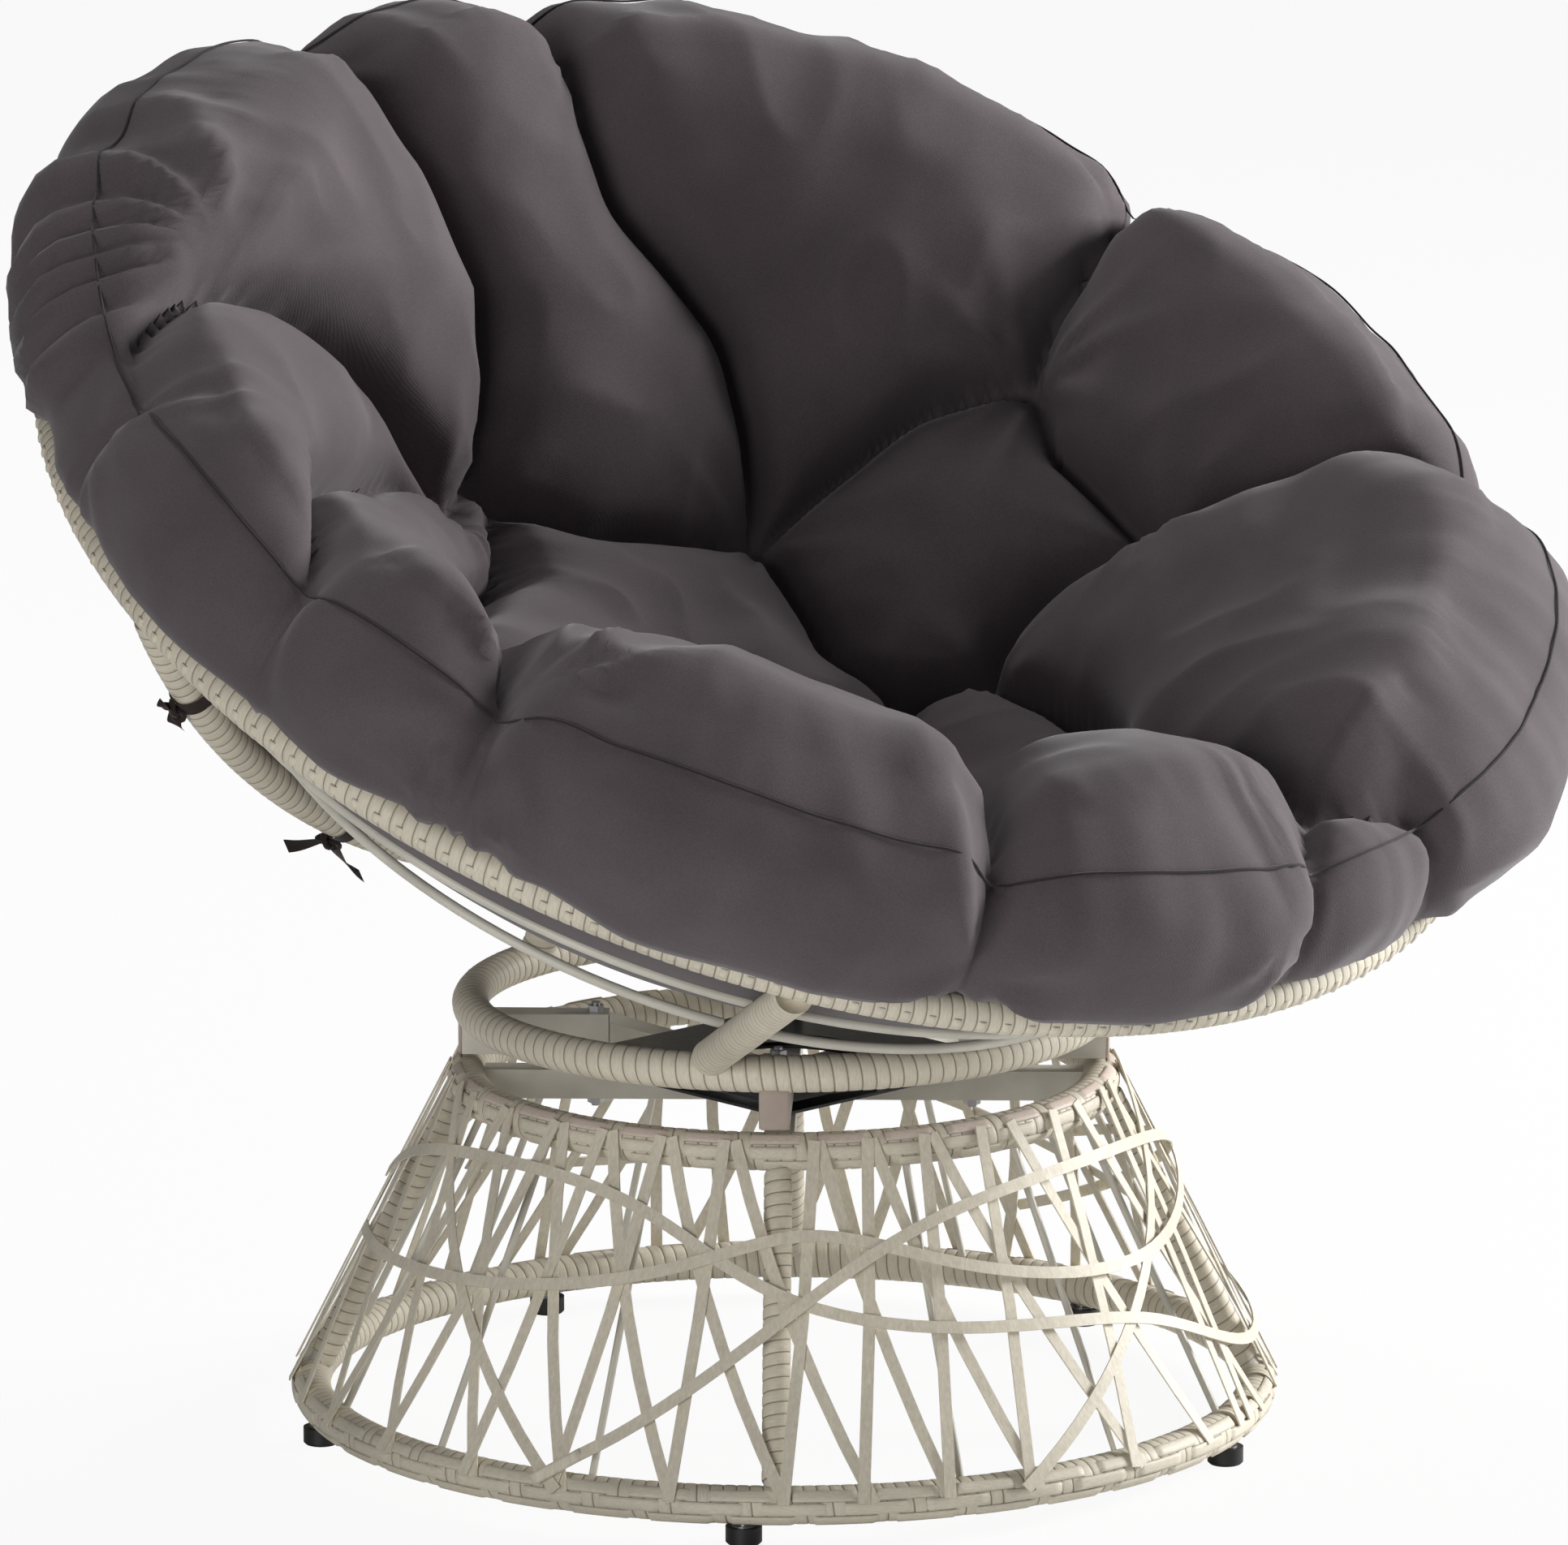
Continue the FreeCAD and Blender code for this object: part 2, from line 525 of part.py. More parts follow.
def make_swivel_seat_side():
    """Upper plate with its lock ring and bolts. Its corners lie under the seat arms."""
    angles = turn_angles(4, 45)
    flange_top = BALL_Z - LOCK_FLANGE_TOP_BELOW_BALLS
    flange_bottom = flange_top - LOCK_FLANGE_THICKNESS
    neck = flat_ring(LOCK_NECK_RADIUS - LOCK_WALL, LOCK_NECK_RADIUS, flange_bottom, UPPER_PLATE_Z)
    flange = flat_ring(LOCK_NECK_RADIUS - LOCK_WALL, LOCK_NECK_RADIUS + LOCK_FLANGE, flange_bottom, flange_top)
    return {
        "swivel_upper_plate": swivel_plate(UPPER_PLATE_Z, 0, angles),
        "swivel_upper_lock_ring": neck.fuse(flange).removeSplitter(),
        "swivel_upper_bolts": truss_bolts(UPPER_PLATE_Z, UP, PLATE_THICKNESS + SEAT_ARM_HEIGHT, angles),
        "swivel_upper_nuts": nuts(SEAT_ARM_TOP_Z, angles)}


def strut_line(side):
    """Axis of a front strut. Side is -1 for -X and 1 for +X."""
    foot = plan_point(side * STRUT_FOOT_ANGLE, SEAT_RING_RADIUS, SEAT_RING_Z + STRUT_FOOT_LIFT)
    head = rim_point(270 + side * (90 - STRUT_RIM_ANGLE), RIM_RADIUS, -STRUT_TOP_DROP)
    return foot, head


def cradle_centre():
    """Centre of the circle that the cradle hoop follows, and its downward direction."""
    lean = math.radians(CRADLE_LEAN)
    down = Vector(0, math.sin(lean), -math.cos(lean))
    middle = (rim_point(180 - CRADLE_RIM_ANGLE) + rim_point(CRADLE_RIM_ANGLE)) * 0.5
    return middle + down * (CRADLE_SAG - CRADLE_RADIUS), down


def cradle_point(angle, inset=0.0):
    """Point of the cradle hoop at an angle from its lowest point towards +X."""
    centre, down = cradle_centre()
    turn = math.radians(angle)
    return centre + (down * math.cos(turn) + RIGHT * math.sin(turn)) * (CRADLE_RADIUS - inset)


def cradle_arc():
    """Arc of the cradle hoop from rim to rim."""
    left, right = rim_point(180 - CRADLE_RIM_ANGLE), rim_point(CRADLE_RIM_ANGLE)
    return Part.Arc(left, cradle_point(0), right)


def post_line(side):
    """Axis of a post between the seat ring and the cradle hoop."""
    plan = math.degrees(math.asin(POST_OFFSET / SEAT_RING_RADIUS))
    foot = plan_point(180 - side * plan, SEAT_RING_RADIUS, SEAT_RING_Z)
    return foot, cradle_point(side * math.degrees(math.asin(POST_OFFSET / CRADLE_RADIUS)))


def hoop_points(name):
    """Two cradle contacts and a third point of a wire hoop, all on the wire's centre line."""
    inset = FRAME_SLEEVE + WIRE_RADIUS + JOINT_GAP + WRAP_GAP
    if name == "upper":
        side_inset = UPPER_HOOP_SIDE_INSET
        third = rim_point(270, RIM_RADIUS - UPPER_HOOP_INSET, -UPPER_HOOP_DROP)
    elif name == "middle":
        side_inset = MIDDLE_HOOP_SIDE_INSET
        lean = math.radians(MIDDLE_HOOP_SEAT_ANGLE)
        third = plan_point(0, SEAT_RING_RADIUS + inset * math.sin(lean), SEAT_RING_Z + inset * math.cos(lean))
    else:
        side_inset = LOWER_HOOP_SIDE_INSET
        third = rim_point(90, RIM_RADIUS - LOWER_HOOP_INSET, -LOWER_HOOP_DROP)
    angle = math.degrees(math.asin((RIM_RADIUS - side_inset) / CRADLE_RADIUS))
    return cradle_point(-angle, inset), third, cradle_point(angle, inset)


def hoop_circle(name):
    """Full circle of a wire hoop."""
    return Part.Circle(*hoop_points(name))


def hoop_back_point(name, offset=0.0):
    """Point at the back of a wire hoop, at an offset from the chair's middle."""
    circle = hoop_circle(name)
    across = RIGHT.cross(circle.Axis).normalize() * math.sqrt(circle.Radius ** 2 - offset ** 2)
    points = (circle.Center + across, circle.Center - across)
    return max(points, key=lambda point: point.y) + RIGHT * offset


def split_hoop(name):
    """Back and front arcs of a wire hoop, which end against the front struts."""
    circle = hoop_circle(name)
    bores = []
    for side in (-1, 1):
        foot, head = strut_line(side)
        bores.append(rod(foot, head, FRAME_SLEEVE + JOINT_GAP))
        meeting = circle.toShape().distToShape(Part.makeLine(foot, head))[1][0][0]
        bores.append(Part.makeSphere(WIRE_RADIUS * 2, meeting))
    wire = Part.makeTorus(circle.Radius, WIRE_RADIUS, circle.Center, circle.Axis)
    arcs = sorted(wire.cut(bores).Solids, key=lambda solid: -solid.Volume)
    return arcs[0], arcs[1]


def make_seat_frame():
    """Seat ring, its arms, the struts and posts, the rim and the cradle hoop."""
    seat_ring = hoop(SEAT_RING_RADIUS, TUBE_RADIUS, SEAT_RING_Z)
    rim = rim_hoop(TUBE_RADIUS)
    cradle = bent_rod(cradle_arc(), TUBE_RADIUS)
    seat_weld = hoop(SEAT_RING_RADIUS, TUBE_RADIUS + WELD_GAP, SEAT_RING_Z)
    rim_weld = rim_hoop(TUBE_RADIUS + WELD_GAP)
    cradle_weld = bent_rod(cradle_arc(), TUBE_RADIUS + WELD_GAP)
    seat_sleeve = hoop(SEAT_RING_RADIUS, FRAME_SLEEVE, SEAT_RING_Z)
    rim_sleeve = rim_hoop(FRAME_SLEEVE)
    bore = TUBE_RADIUS - TUBE_WALL
    nodes = {
        "seat_ring_tube": seat_ring.cut(hoop(SEAT_RING_RADIUS, bore, SEAT_RING_Z)),
        "rim_tube": rim.cut(rim_hoop(bore)),
        "cradle_hoop_tube": largest(cradle.cut(bent_rod(cradle_arc(), bore)).cut(rim_weld))}
    seat_notches, rim_notches, cradle_notches = [], [], []
    for side, name in ((-1, "left"), (1, "right")):
        foot, head = strut_line(side)
        strut = pipe(foot, head, TUBE_RADIUS, TUBE_WALL)
        nodes["front_strut_%s" % name] = largest(strut.cut([seat_weld, rim_weld]))
        sleeve = pipe(foot, head, FRAME_SLEEVE, FRAME_WRAP).cut([seat_sleeve, rim_sleeve])
        nodes["front_strut_%s_wrap" % name] = largest(sleeve)
        notch = rod(foot, head, TUBE_RADIUS + JOINT_GAP)
        seat_notches.append(notch)
        rim_notches.append(notch)
        foot, head = post_line(side)
        post = pipe(foot, head, TUBE_RADIUS, TUBE_WALL)
        nodes["cradle_post_%s" % name] = largest(post.cut([seat_weld, cradle_weld]))
        notch = rod(foot, head, TUBE_RADIUS + JOINT_GAP)
        seat_notches.append(notch)
        cradle_notches.append(notch)
    rim_notches.append(bent_rod(cradle_arc(), TUBE_RADIUS + JOINT_GAP))
    arms, arm_notches = make_seat_arms(seat_weld)
    nodes["seat_arms"] = arms
    nodes["back_ribs"] = Part.makeCompound([make_rib(side, rim_weld, cradle_weld) for side in (-1, 1)])
    rib_notches = [bent_rod(rib_arc(side), RIB_RADIUS + JOINT_GAP) for side in (-1, 1)]
    rim_notches += rib_notches
    cradle_notches += rib_notches
    seat_hollow = hoop(SEAT_RING_RADIUS, TUBE_RADIUS + WRAP_GAP, SEAT_RING_Z)
    nodes["seat_ring_wrap"] = largest(seat_sleeve.cut(seat_hollow).cut(seat_notches + arm_notches))
    nodes["rim_wrap"] = largest(rim_sleeve.cut(rim_hoop(TUBE_RADIUS + WRAP_GAP)).cut(rim_notches))
    cradle_sleeve = bent_rod(cradle_arc(), FRAME_SLEEVE).cut(bent_rod(cradle_arc(), TUBE_RADIUS + WRAP_GAP))
    nodes["cradle_hoop_wrap"] = largest(cradle_sleeve.cut([rim_sleeve] + cradle_notches))
    return nodes


def make_seat_arms(seat_weld):
    """Four rectangular tubes on the corners of the upper plate, and their notches in the wicker."""
    arms, notches = [], []
    reach = SEAT_RING_RADIUS + SEAT_ARM_OVERRUN
    angles = turn_angles(4, 45)
    holes = bolt_holes(UPPER_PLATE_TOP_Z - 1, SEAT_ARM_TOP_Z + 1, angles)
    for angle in angles:
        arm = hollow_bar(angle, SEAT_ARM_START, reach, UPPER_PLATE_TOP_Z, SEAT_ARM_TOP_Z, SEAT_ARM_WIDTH)
        arms.append(largest(arm.cut([seat_weld] + holes)))
        notches.append(bar_box(angle, SEAT_ARM_START, reach + JOINT_GAP, UPPER_PLATE_TOP_Z,
                               SEAT_ARM_TOP_Z + JOINT_GAP, SEAT_ARM_WIDTH + 2 * JOINT_GAP))
    return Part.makeCompound(arms), notches


def rib_arc(side):
    """Arc of a back rib, from the cradle hoop past the outside of the hoops to the rim."""
    start = cradle_point(side * math.degrees(math.asin(RIB_OFFSET / CRADLE_RADIUS)))
    middle_back, upper_back = hoop_back_point("middle"), hoop_back_point("upper")
    outward = RIGHT.cross(upper_back - middle_back).normalize()
    if outward.y < 0:
        outward = outward * -1
    touch = hoop_back_point("upper", side * RIB_OFFSET) + outward * (WIRE_RADIUS + RIB_RADIUS + JOINT_GAP)
    end = rim_point(90 - side * math.degrees(math.asin(RIB_OFFSET / RIM_RADIUS)))
    return Part.Arc(start, touch, end)


def make_rib(side, rim_weld, cradle_weld):
    """Round bar behind the hoops."""
    return largest(bent_rod(rib_arc(side), RIB_RADIUS).cut([rim_weld, cradle_weld]))


def make_hoops():
    """Wire hoops of the bowl."""
    upper_back, upper_front = split_hoop("upper")
    middle_back, middle_front = split_hoop("middle")
    return {
        "upper_hoop_back": upper_back,
        "upper_hoop_front": upper_front,
        "middle_hoop_back": middle_back,
        "middle_hoop_front": middle_front,
        "lower_back_hoop": bent_rod(Part.Arc(*hoop_points("lower")), WIRE_RADIUS)}


def profile_point(radius, height):
    """Point of the cushion's half section, before it is tilted."""
    return Vector(radius, 0, height)


def make_cushion():
    """Round dished cushion: a half section that follows the hoops and the rim, turned about the bowl axis."""
    inward = profile_point(*HOOP_TO_CUSHION)
    middle = profile_point(*bowl_coordinates(hoop_back_point("middle")))
    upper = profile_point(*bowl_coordinates(hoop_back_point("upper")))
    lower_side = middle + inward * (WIRE_RADIUS + CUSHION_CLEARANCE)
    upper_side = upper + inward * (WIRE_RADIUS + CUSHION_CLEARANCE)
    over_rim = FRAME_SLEEVE + CUSHION_RIM_CLEARANCE
    rim_inside, rim_top = [profile_point(RIM_RADIUS + over_rim * out, over_rim * rise)
                           for out, rise in CUSHION_ROUND_RIM]
    rim_outside = profile_point(RIM_RADIUS + CUSHION_OVERHANG / 2, over_rim * CUSHION_OUTSIDE_RISE)
    edge = profile_point(RIM_RADIUS + CUSHION_OVERHANG, CUSHION_EDGE_HEIGHT)
    crest = profile_point(RIM_RADIUS - CUSHION_CREST_INSET, CUSHION_CREST_HEIGHT)
    seat = profile_point(CUSHION_SEAT_RADIUS, CUSHION_SEAT_HEIGHT)
    centre = profile_point(0, CUSHION_CENTRE_HEIGHT)
    bottom = profile_point(0, lower_side.z - CUSHION_SAG)
    under_radius = (lower_side.x ** 2 + CUSHION_SAG ** 2) / (2 * CUSHION_SAG)
    half = lower_side.x / 2
    under_middle = profile_point(half, bottom.z + under_radius - math.sqrt(under_radius ** 2 - half ** 2))
    dish_rise = seat.z - centre.z
    dish_radius = (seat.x ** 2 + dish_rise ** 2) / (2 * dish_rise)
    half = seat.x / 2
    dish = profile_point(half, centre.z + dish_radius - math.sqrt(dish_radius ** 2 - half ** 2))
    outer_low = (rim_outside + edge) * 0.5 + profile_point(*CUSHION_LOW_BULGE)
    outer_high = (edge + crest) * 0.5 + profile_point(*CUSHION_HIGH_BULGE)
    inner_high = (crest + seat) * 0.5 + profile_point(*CUSHION_INNER_BULGE)
    edges = [
        Part.Arc(bottom, under_middle, lower_side).toShape(),
        Part.Arc(lower_side, upper_side, rim_inside).toShape(),
        Part.Arc(rim_inside, rim_top, rim_outside).toShape(),
        Part.Arc(rim_outside, outer_low, edge).toShape(),
        Part.Arc(edge, outer_high, crest).toShape(),
        Part.Arc(crest, inner_high, seat).toShape(),
        Part.Arc(seat, dish, centre).toShape(),
        Part.makeLine(centre, bottom)]
    cushion = Part.Face(Part.Wire(edges)).revolve(ORIGIN, UP, 360)
    cushion.rotate(ORIGIN, RIGHT, RIM_TILT)
    cushion.translate(RIM_CENTRE)
    return cushion


def make_ties(cushion):
    """Ribbons sewn to the cushion and knotted round the cradle hoop."""
    ties = []
    centre = cradle_centre()[0]
    for angle in [sign * a for a in TIE_CRADLE_ANGLES for sign in (-1, 1)]:
        place = cradle_point(angle)
        inward = (centre - place).normalize()
        tangent = (cradle_point(angle + 1) - cradle_point(angle - 1)).normalize()
        start = place - tangent * (TIE_WIDTH / 2)
        inner = FRAME_SLEEVE + WRAP_GAP
        outer = inner + TIE_THICKNESS
        loop = rod(start, start + tangent * TIE_WIDTH, outer)
        hollow = rod(start, start + tangent * TIE_WIDTH, inner)
        sideways = tangent.cross(inward)
        corner = start - sideways * (TIE_THICKNESS / 2)
        middle = inner + TIE_THICKNESS / 2
        covered = Part.makeLine(place, place + inward * CRADLE_RADIUS / 2).common(cushion)
        reach = min((vertex.Point - place).Length for vertex in covered.Vertexes)
        strap = ribbon(corner + inward * middle, tangent, sideways, inward, reach - middle - TIE_END_GAP)
        tail = ribbon(corner - inward * middle, tangent, sideways, UP * -1, TIE_TAIL)
        ties.append(largest(loop.fuse([strap, tail]).cut(hollow)))
    return {"cushion_ties": Part.makeCompound(ties)}


def ribbon(corner, across, through, along, length):
    """Flat length of ribbon from one corner."""
    a, b = across * TIE_WIDTH, through * TIE_THICKNESS
    outline = Part.makePolygon([corner, corner + a, corner + a + b, corner + b, corner])
    return Part.Face(outline).extrude(along * length)


def main():
    os.makedirs("parts", exist_ok=True)
    base_nodes = {}
    base_nodes.update(make_base_frame())
    base_nodes.update(make_feet())
    base_nodes.update(make_lattice())
    base_nodes.update(make_swivel_base_side())
    for shape in base_nodes.values():
        shape.rotate(ORIGIN, UP, BASE_TURN)
    nodes = dict(base_nodes)
    nodes.update(make_swivel_cage())
    nodes.update(make_swivel_seat_side())
    nodes.update(make_seat_frame())
    nodes.update(make_hoops())
    cushion = make_cushion()
    nodes["cushion"] = cushion
    nodes.update(make_ties(cushion))
    for name, shape in nodes.items():
        shape.translate(Vector(0, AXIS_SETBACK, 0))
        shape.exportStep("parts/%s.step" % name)


main()
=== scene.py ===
"""Looks of the round swivel chair: fabric, wicker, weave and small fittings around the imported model."""
import json
from math import asin, cos, degrees, pi, radians, sin

import bpy
import numpy as np
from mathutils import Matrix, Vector, noise
from mathutils.bvhtree import BVHTree
from mathutils.kdtree import KDTree
from numpy.linalg import norm


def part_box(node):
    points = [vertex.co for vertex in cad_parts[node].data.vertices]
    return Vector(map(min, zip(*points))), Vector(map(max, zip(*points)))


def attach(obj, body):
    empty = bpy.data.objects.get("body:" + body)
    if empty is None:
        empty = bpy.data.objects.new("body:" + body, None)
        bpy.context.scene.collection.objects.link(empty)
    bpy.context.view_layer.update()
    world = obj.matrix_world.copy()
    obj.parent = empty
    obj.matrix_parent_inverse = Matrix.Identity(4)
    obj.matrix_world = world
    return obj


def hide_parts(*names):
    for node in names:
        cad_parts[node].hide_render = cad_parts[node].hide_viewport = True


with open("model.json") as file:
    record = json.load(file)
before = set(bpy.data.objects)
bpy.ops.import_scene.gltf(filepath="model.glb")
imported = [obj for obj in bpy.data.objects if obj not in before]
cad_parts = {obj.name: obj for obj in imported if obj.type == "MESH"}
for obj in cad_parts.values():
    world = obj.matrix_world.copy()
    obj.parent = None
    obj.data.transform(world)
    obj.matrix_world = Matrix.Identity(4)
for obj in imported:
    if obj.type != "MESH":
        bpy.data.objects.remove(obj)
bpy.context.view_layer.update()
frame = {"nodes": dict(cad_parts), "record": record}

# Places read from the frame, in metres. A ring is (radius, height), and TUBE is the radius of the bare tubes.
RIM_LOW, RIM_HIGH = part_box("rim_tube")
BOTTOM_LOW, BOTTOM_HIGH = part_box("bottom_ring_tube")
TOP_LOW, TOP_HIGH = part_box("top_ring_tube")
SEAT_LOW, SEAT_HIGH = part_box("seat_ring_tube")
TUBE = (BOTTOM_HIGH.z - BOTTOM_LOW.z) / 2
RIM_CENTRE = Vector((0, (RIM_LOW.y + RIM_HIGH.y) / 2, (RIM_LOW.z + RIM_HIGH.z) / 2))
RIM_RADIUS = (RIM_HIGH.x - RIM_LOW.x) / 2 - TUBE
RIM_TILT = asin(((RIM_HIGH.z - RIM_LOW.z) / 2 - TUBE) / RIM_RADIUS)
BOWL_AXIS = Vector((0, -sin(RIM_TILT), cos(RIM_TILT)))
BOWL_BACK = Vector((0, cos(RIM_TILT), sin(RIM_TILT)))
RIGHT = Vector((1, 0, 0))
AXIS_Y = (BOTTOM_LOW.y + BOTTOM_HIGH.y) / 2
BOTTOM_RING = ((BOTTOM_HIGH.x - BOTTOM_LOW.x) / 2 - TUBE, BOTTOM_LOW.z + TUBE)
TOP_RING = ((TOP_HIGH.x - TOP_LOW.x) / 2 - TUBE, TOP_LOW.z + TUBE)
SEAT_RING = ((SEAT_HIGH.x - SEAT_LOW.x) / 2 - TUBE, SEAT_LOW.z + TUBE)

# Places of the legs, struts, posts, cradle hoop and seat arms, as in the CAD model: metres and degrees
BASE_TURN = radians(-44.3)
STRUT_FOOT_ANGLE = 57.0
STRUT_FOOT_LIFT = 0.008
STRUT_RIM_ANGLE = 52.4
STRUT_TOP_DROP = 0.012
CRADLE_RIM_ANGLE = 7.6
CRADLE_SAG = 0.2605
CRADLE_LEAN = 20.1
CRADLE_GAP = 0.002
POST_OFFSET = 0.040
CRADLE_HALF_SPAN = RIM_RADIUS * cos(radians(CRADLE_RIM_ANGLE))
CRADLE_RADIUS = (CRADLE_HALF_SPAN ** 2 + CRADLE_SAG ** 2) / (2 * CRADLE_SAG)
SEAT_ARM_ANGLE = 45
SEAT_ARM_REACH = 0.02

# Camera at the photograph's angle: metres, radians and, for the lens and its sensor, millimetres
CAMERA_AZIMUTH = radians(-43.3)
CAMERA_DISTANCE, CAMERA_HEIGHT = 7.692, 2.095
CAMERA_PITCH = radians(12.10)
CAMERA_LENS, CAMERA_SENSOR, CAMERA_CLIP = 269.05, 36, 100

# Lamps as (name, place, size in metres, power in watts), and the point they face
LAMPS = (("key", (4.2, -2.0, 1.8), 1.8, 345),
         ("top", (1.0, 1.4, 4.6), 1.6, 60),
         ("fill", (-4.1, -1.8, 0.8), 2.0, 78))
LAMP_AIM = Vector((0, 0, 0.5))
WORLD_STRENGTH = 0.12
FLOOR_HALF = 30
FLOOR_COLOUR, FLOOR_ROUGHNESS, FLOOR_GLOW = (0.86, 0.86, 0.86, 1), 0.9, 0.93


def srgb(red, green, blue):
    """Linear colour with alpha from 0 to 255 display values."""
    def channel(value):
        value = value / 255
        return value / 12.92 if value <= 0.04045 else ((value + 0.055) / 1.055) ** 2.4
    return (channel(red), channel(green), channel(blue), 1.0)


def new_object(name, data):
    """Object of the scene with this data."""
    made = bpy.data.objects.new(name, data)
    bpy.context.scene.collection.objects.link(made)
    return made


def make_camera():
    data = bpy.data.cameras.new("camera")
    data.lens = CAMERA_LENS
    data.sensor_width = CAMERA_SENSOR
    data.clip_end = CAMERA_CLIP
    camera = new_object("camera", data)
    camera.location = (CAMERA_DISTANCE * sin(CAMERA_AZIMUTH),
                       AXIS_Y - CAMERA_DISTANCE * cos(CAMERA_AZIMUTH), CAMERA_HEIGHT)
    camera.rotation_euler = (pi / 2 - CAMERA_PITCH, 0, CAMERA_AZIMUTH)
    bpy.context.scene.camera = camera


class Nodes:
    """Short way to add shader nodes to a new material."""

    def __init__(self, name):
        self.material = bpy.data.materials.new(name)
        self.material.use_nodes = True
        self.tree = self.material.node_tree
        self.shader = self.tree.nodes["Principled BSDF"]

    def add(self, kind, **inputs):
        node = self.tree.nodes.new("ShaderNode" + kind)
        for key, value in inputs.items():
            if hasattr(node, key):
                setattr(node, key, value)
            else:
                node.inputs[key.replace("_", " ")].default_value = value
        return node

    def link(self, source, target):
        self.tree.links.new(source, target)

    def noise(self, place, **inputs):
        node = self.add("TexNoise", **inputs)
        self.link(place, node.inputs["Vector"])
        return node.outputs["Fac"]

    def ramp(self, source, stops):
        """Colour by a value, with (place, colour) stops."""
        node = self.add("ValToRGB")
        elements = node.color_ramp.elements
        while len(elements) < len(stops):
            elements.new(0.5)
        for element, (place, colour) in zip(elements, stops):
            element.position = place
            element.color = colour
        self.link(source, node.inputs["Fac"])
        return node.outputs["Color"]

    def tones(self, source, colour, dark, light):
        """Colour between a dark and a light share of itself, by a value."""
        low, high = (tuple(channel * share for channel in colour[:3]) + (1,) for share in (dark, light))
        return self.ramp(source, [(0.3, low), (0.7, high)])

    def multiply(self, first, second):
        node = self.add("Mix", data_type="RGBA", blend_type="MULTIPLY")
        node.inputs["Factor"].default_value = 1.0
        self.link(first, node.inputs[6])
        self.link(second, node.inputs[7])
        return node.outputs[2]

    def value(self, operation, source, number=0.0):
        node = self.add("Math", operation=operation)
        node.inputs[1].default_value = number
        self.link(source, node.inputs[0])
        return node.outputs["Value"]

    def bump(self, height, strength, distance, below=None):
        node = self.add("Bump", Strength=strength, Distance=distance)
        self.link(height, node.inputs["Height"])
        if below is not None:
            self.link(below, node.inputs["Normal"])
        return node.outputs["Normal"]

    def finish(self, colour, normal, **values):
        """Fills in the shader and returns the material."""
        self.link(colour, self.shader.inputs["Base Color"])
        self.link(normal, self.shader.inputs["Normal"])
        for key, value in values.items():
            self.shader.inputs[key.replace("_", " ")].default_value = value
        return self.material


def make_stage():
    """Pale floor under the object, nearly plain white where the camera sees it."""
    mesh = bpy.data.meshes.new("floor")
    corners = [(x * FLOOR_HALF, y * FLOOR_HALF, 0) for x, y in ((-1, -1), (1, -1), (1, 1), (-1, 1))]
    mesh.from_pydata(corners, [], [(0, 1, 2, 3)])
    floor = new_object("floor", mesh)
    nodes = Nodes("floor_white")
    nodes.shader.inputs["Base Color"].default_value = FLOOR_COLOUR
    nodes.shader.inputs["Roughness"].default_value = FLOOR_ROUGHNESS
    glow = nodes.add("Emission", Strength=1.0)
    path = nodes.add("LightPath")
    mix = nodes.add("MixShader")
    nodes.link(nodes.value("MULTIPLY", path.outputs["Is Camera Ray"], FLOOR_GLOW), mix.inputs["Fac"])
    nodes.link(nodes.shader.outputs["BSDF"], mix.inputs[1])
    nodes.link(glow.outputs["Emission"], mix.inputs[2])
    nodes.link(mix.outputs["Shader"], nodes.tree.nodes["Material Output"].inputs["Surface"])
    mesh.materials.append(nodes.material)


def make_world():
    """Soft surroundings that the camera sees plain white."""
    world = bpy.data.worlds.new("studio")
    bpy.context.scene.world = world
    world.use_nodes = True
    tree = world.node_tree
    background = tree.nodes["Background"]
    background.inputs["Color"].default_value = (1, 1, 1, 1)
    path = tree.nodes.new("ShaderNodeLightPath")
    strength = tree.nodes.new("ShaderNodeMapRange")
    strength.inputs["To Min"].default_value = WORLD_STRENGTH
    strength.inputs["To Max"].default_value = 1.0
    tree.links.new(path.outputs["Is Camera Ray"], strength.inputs["Value"])
    tree.links.new(strength.outputs["Result"], background.inputs["Strength"])


def make_lamp(name, location, size, energy):
    data = bpy.data.lights.new(name, "AREA")
    data.size = size
    data.energy = energy
    lamp = new_object(name, data)
    lamp.location = location
    lamp.rotation_euler = (LAMP_AIM - Vector(location)).to_track_quat("-Z", "Y").to_euler()


def make_mesh(name, points, faces, material, uv=None):
    """Smooth mesh object. Its uv has one pair for each face corner."""
    mesh = bpy.data.meshes.new(name)
    mesh.from_pydata(np.asarray(points, float).tolist(), [], faces.tolist() if isinstance(faces, np.ndarray) else faces)
    if uv is not None:
        layer = mesh.uv_layers.new(name="winding")
        layer.data.foreach_set("uv", np.asarray(uv, np.float32).ravel())
    mesh.polygons.foreach_set("use_smooth", [True] * len(mesh.polygons))
    mesh.update()
    piece = new_object(name, mesh)
    mesh.materials.append(material)
    return piece


def grid_faces(rows, columns, closed, turned=False, first=0):
    """Quads of a grid of points numbered along each row, closed or open over its rows and its columns."""
    i, j = (v.ravel() for v in np.meshgrid(np.arange(rows if closed[0] else rows - 1),
                                           np.arange(columns if closed[1] else columns - 1), indexing="ij"))
    next_row, next_column = (i + 1) % rows, (j + 1) % columns
    corners = [i * columns + j, next_row * columns + j, next_row * columns + next_column, i * columns + next_column]
    if turned:
        corners = [corners[0], corners[3], corners[2], corners[1]]
    return first + np.stack(corners, -1)


def full_turn(count):
    """Evenly spaced angles of a full turn, in radians."""
    return np.linspace(0, 2 * pi, count, endpoint=False)


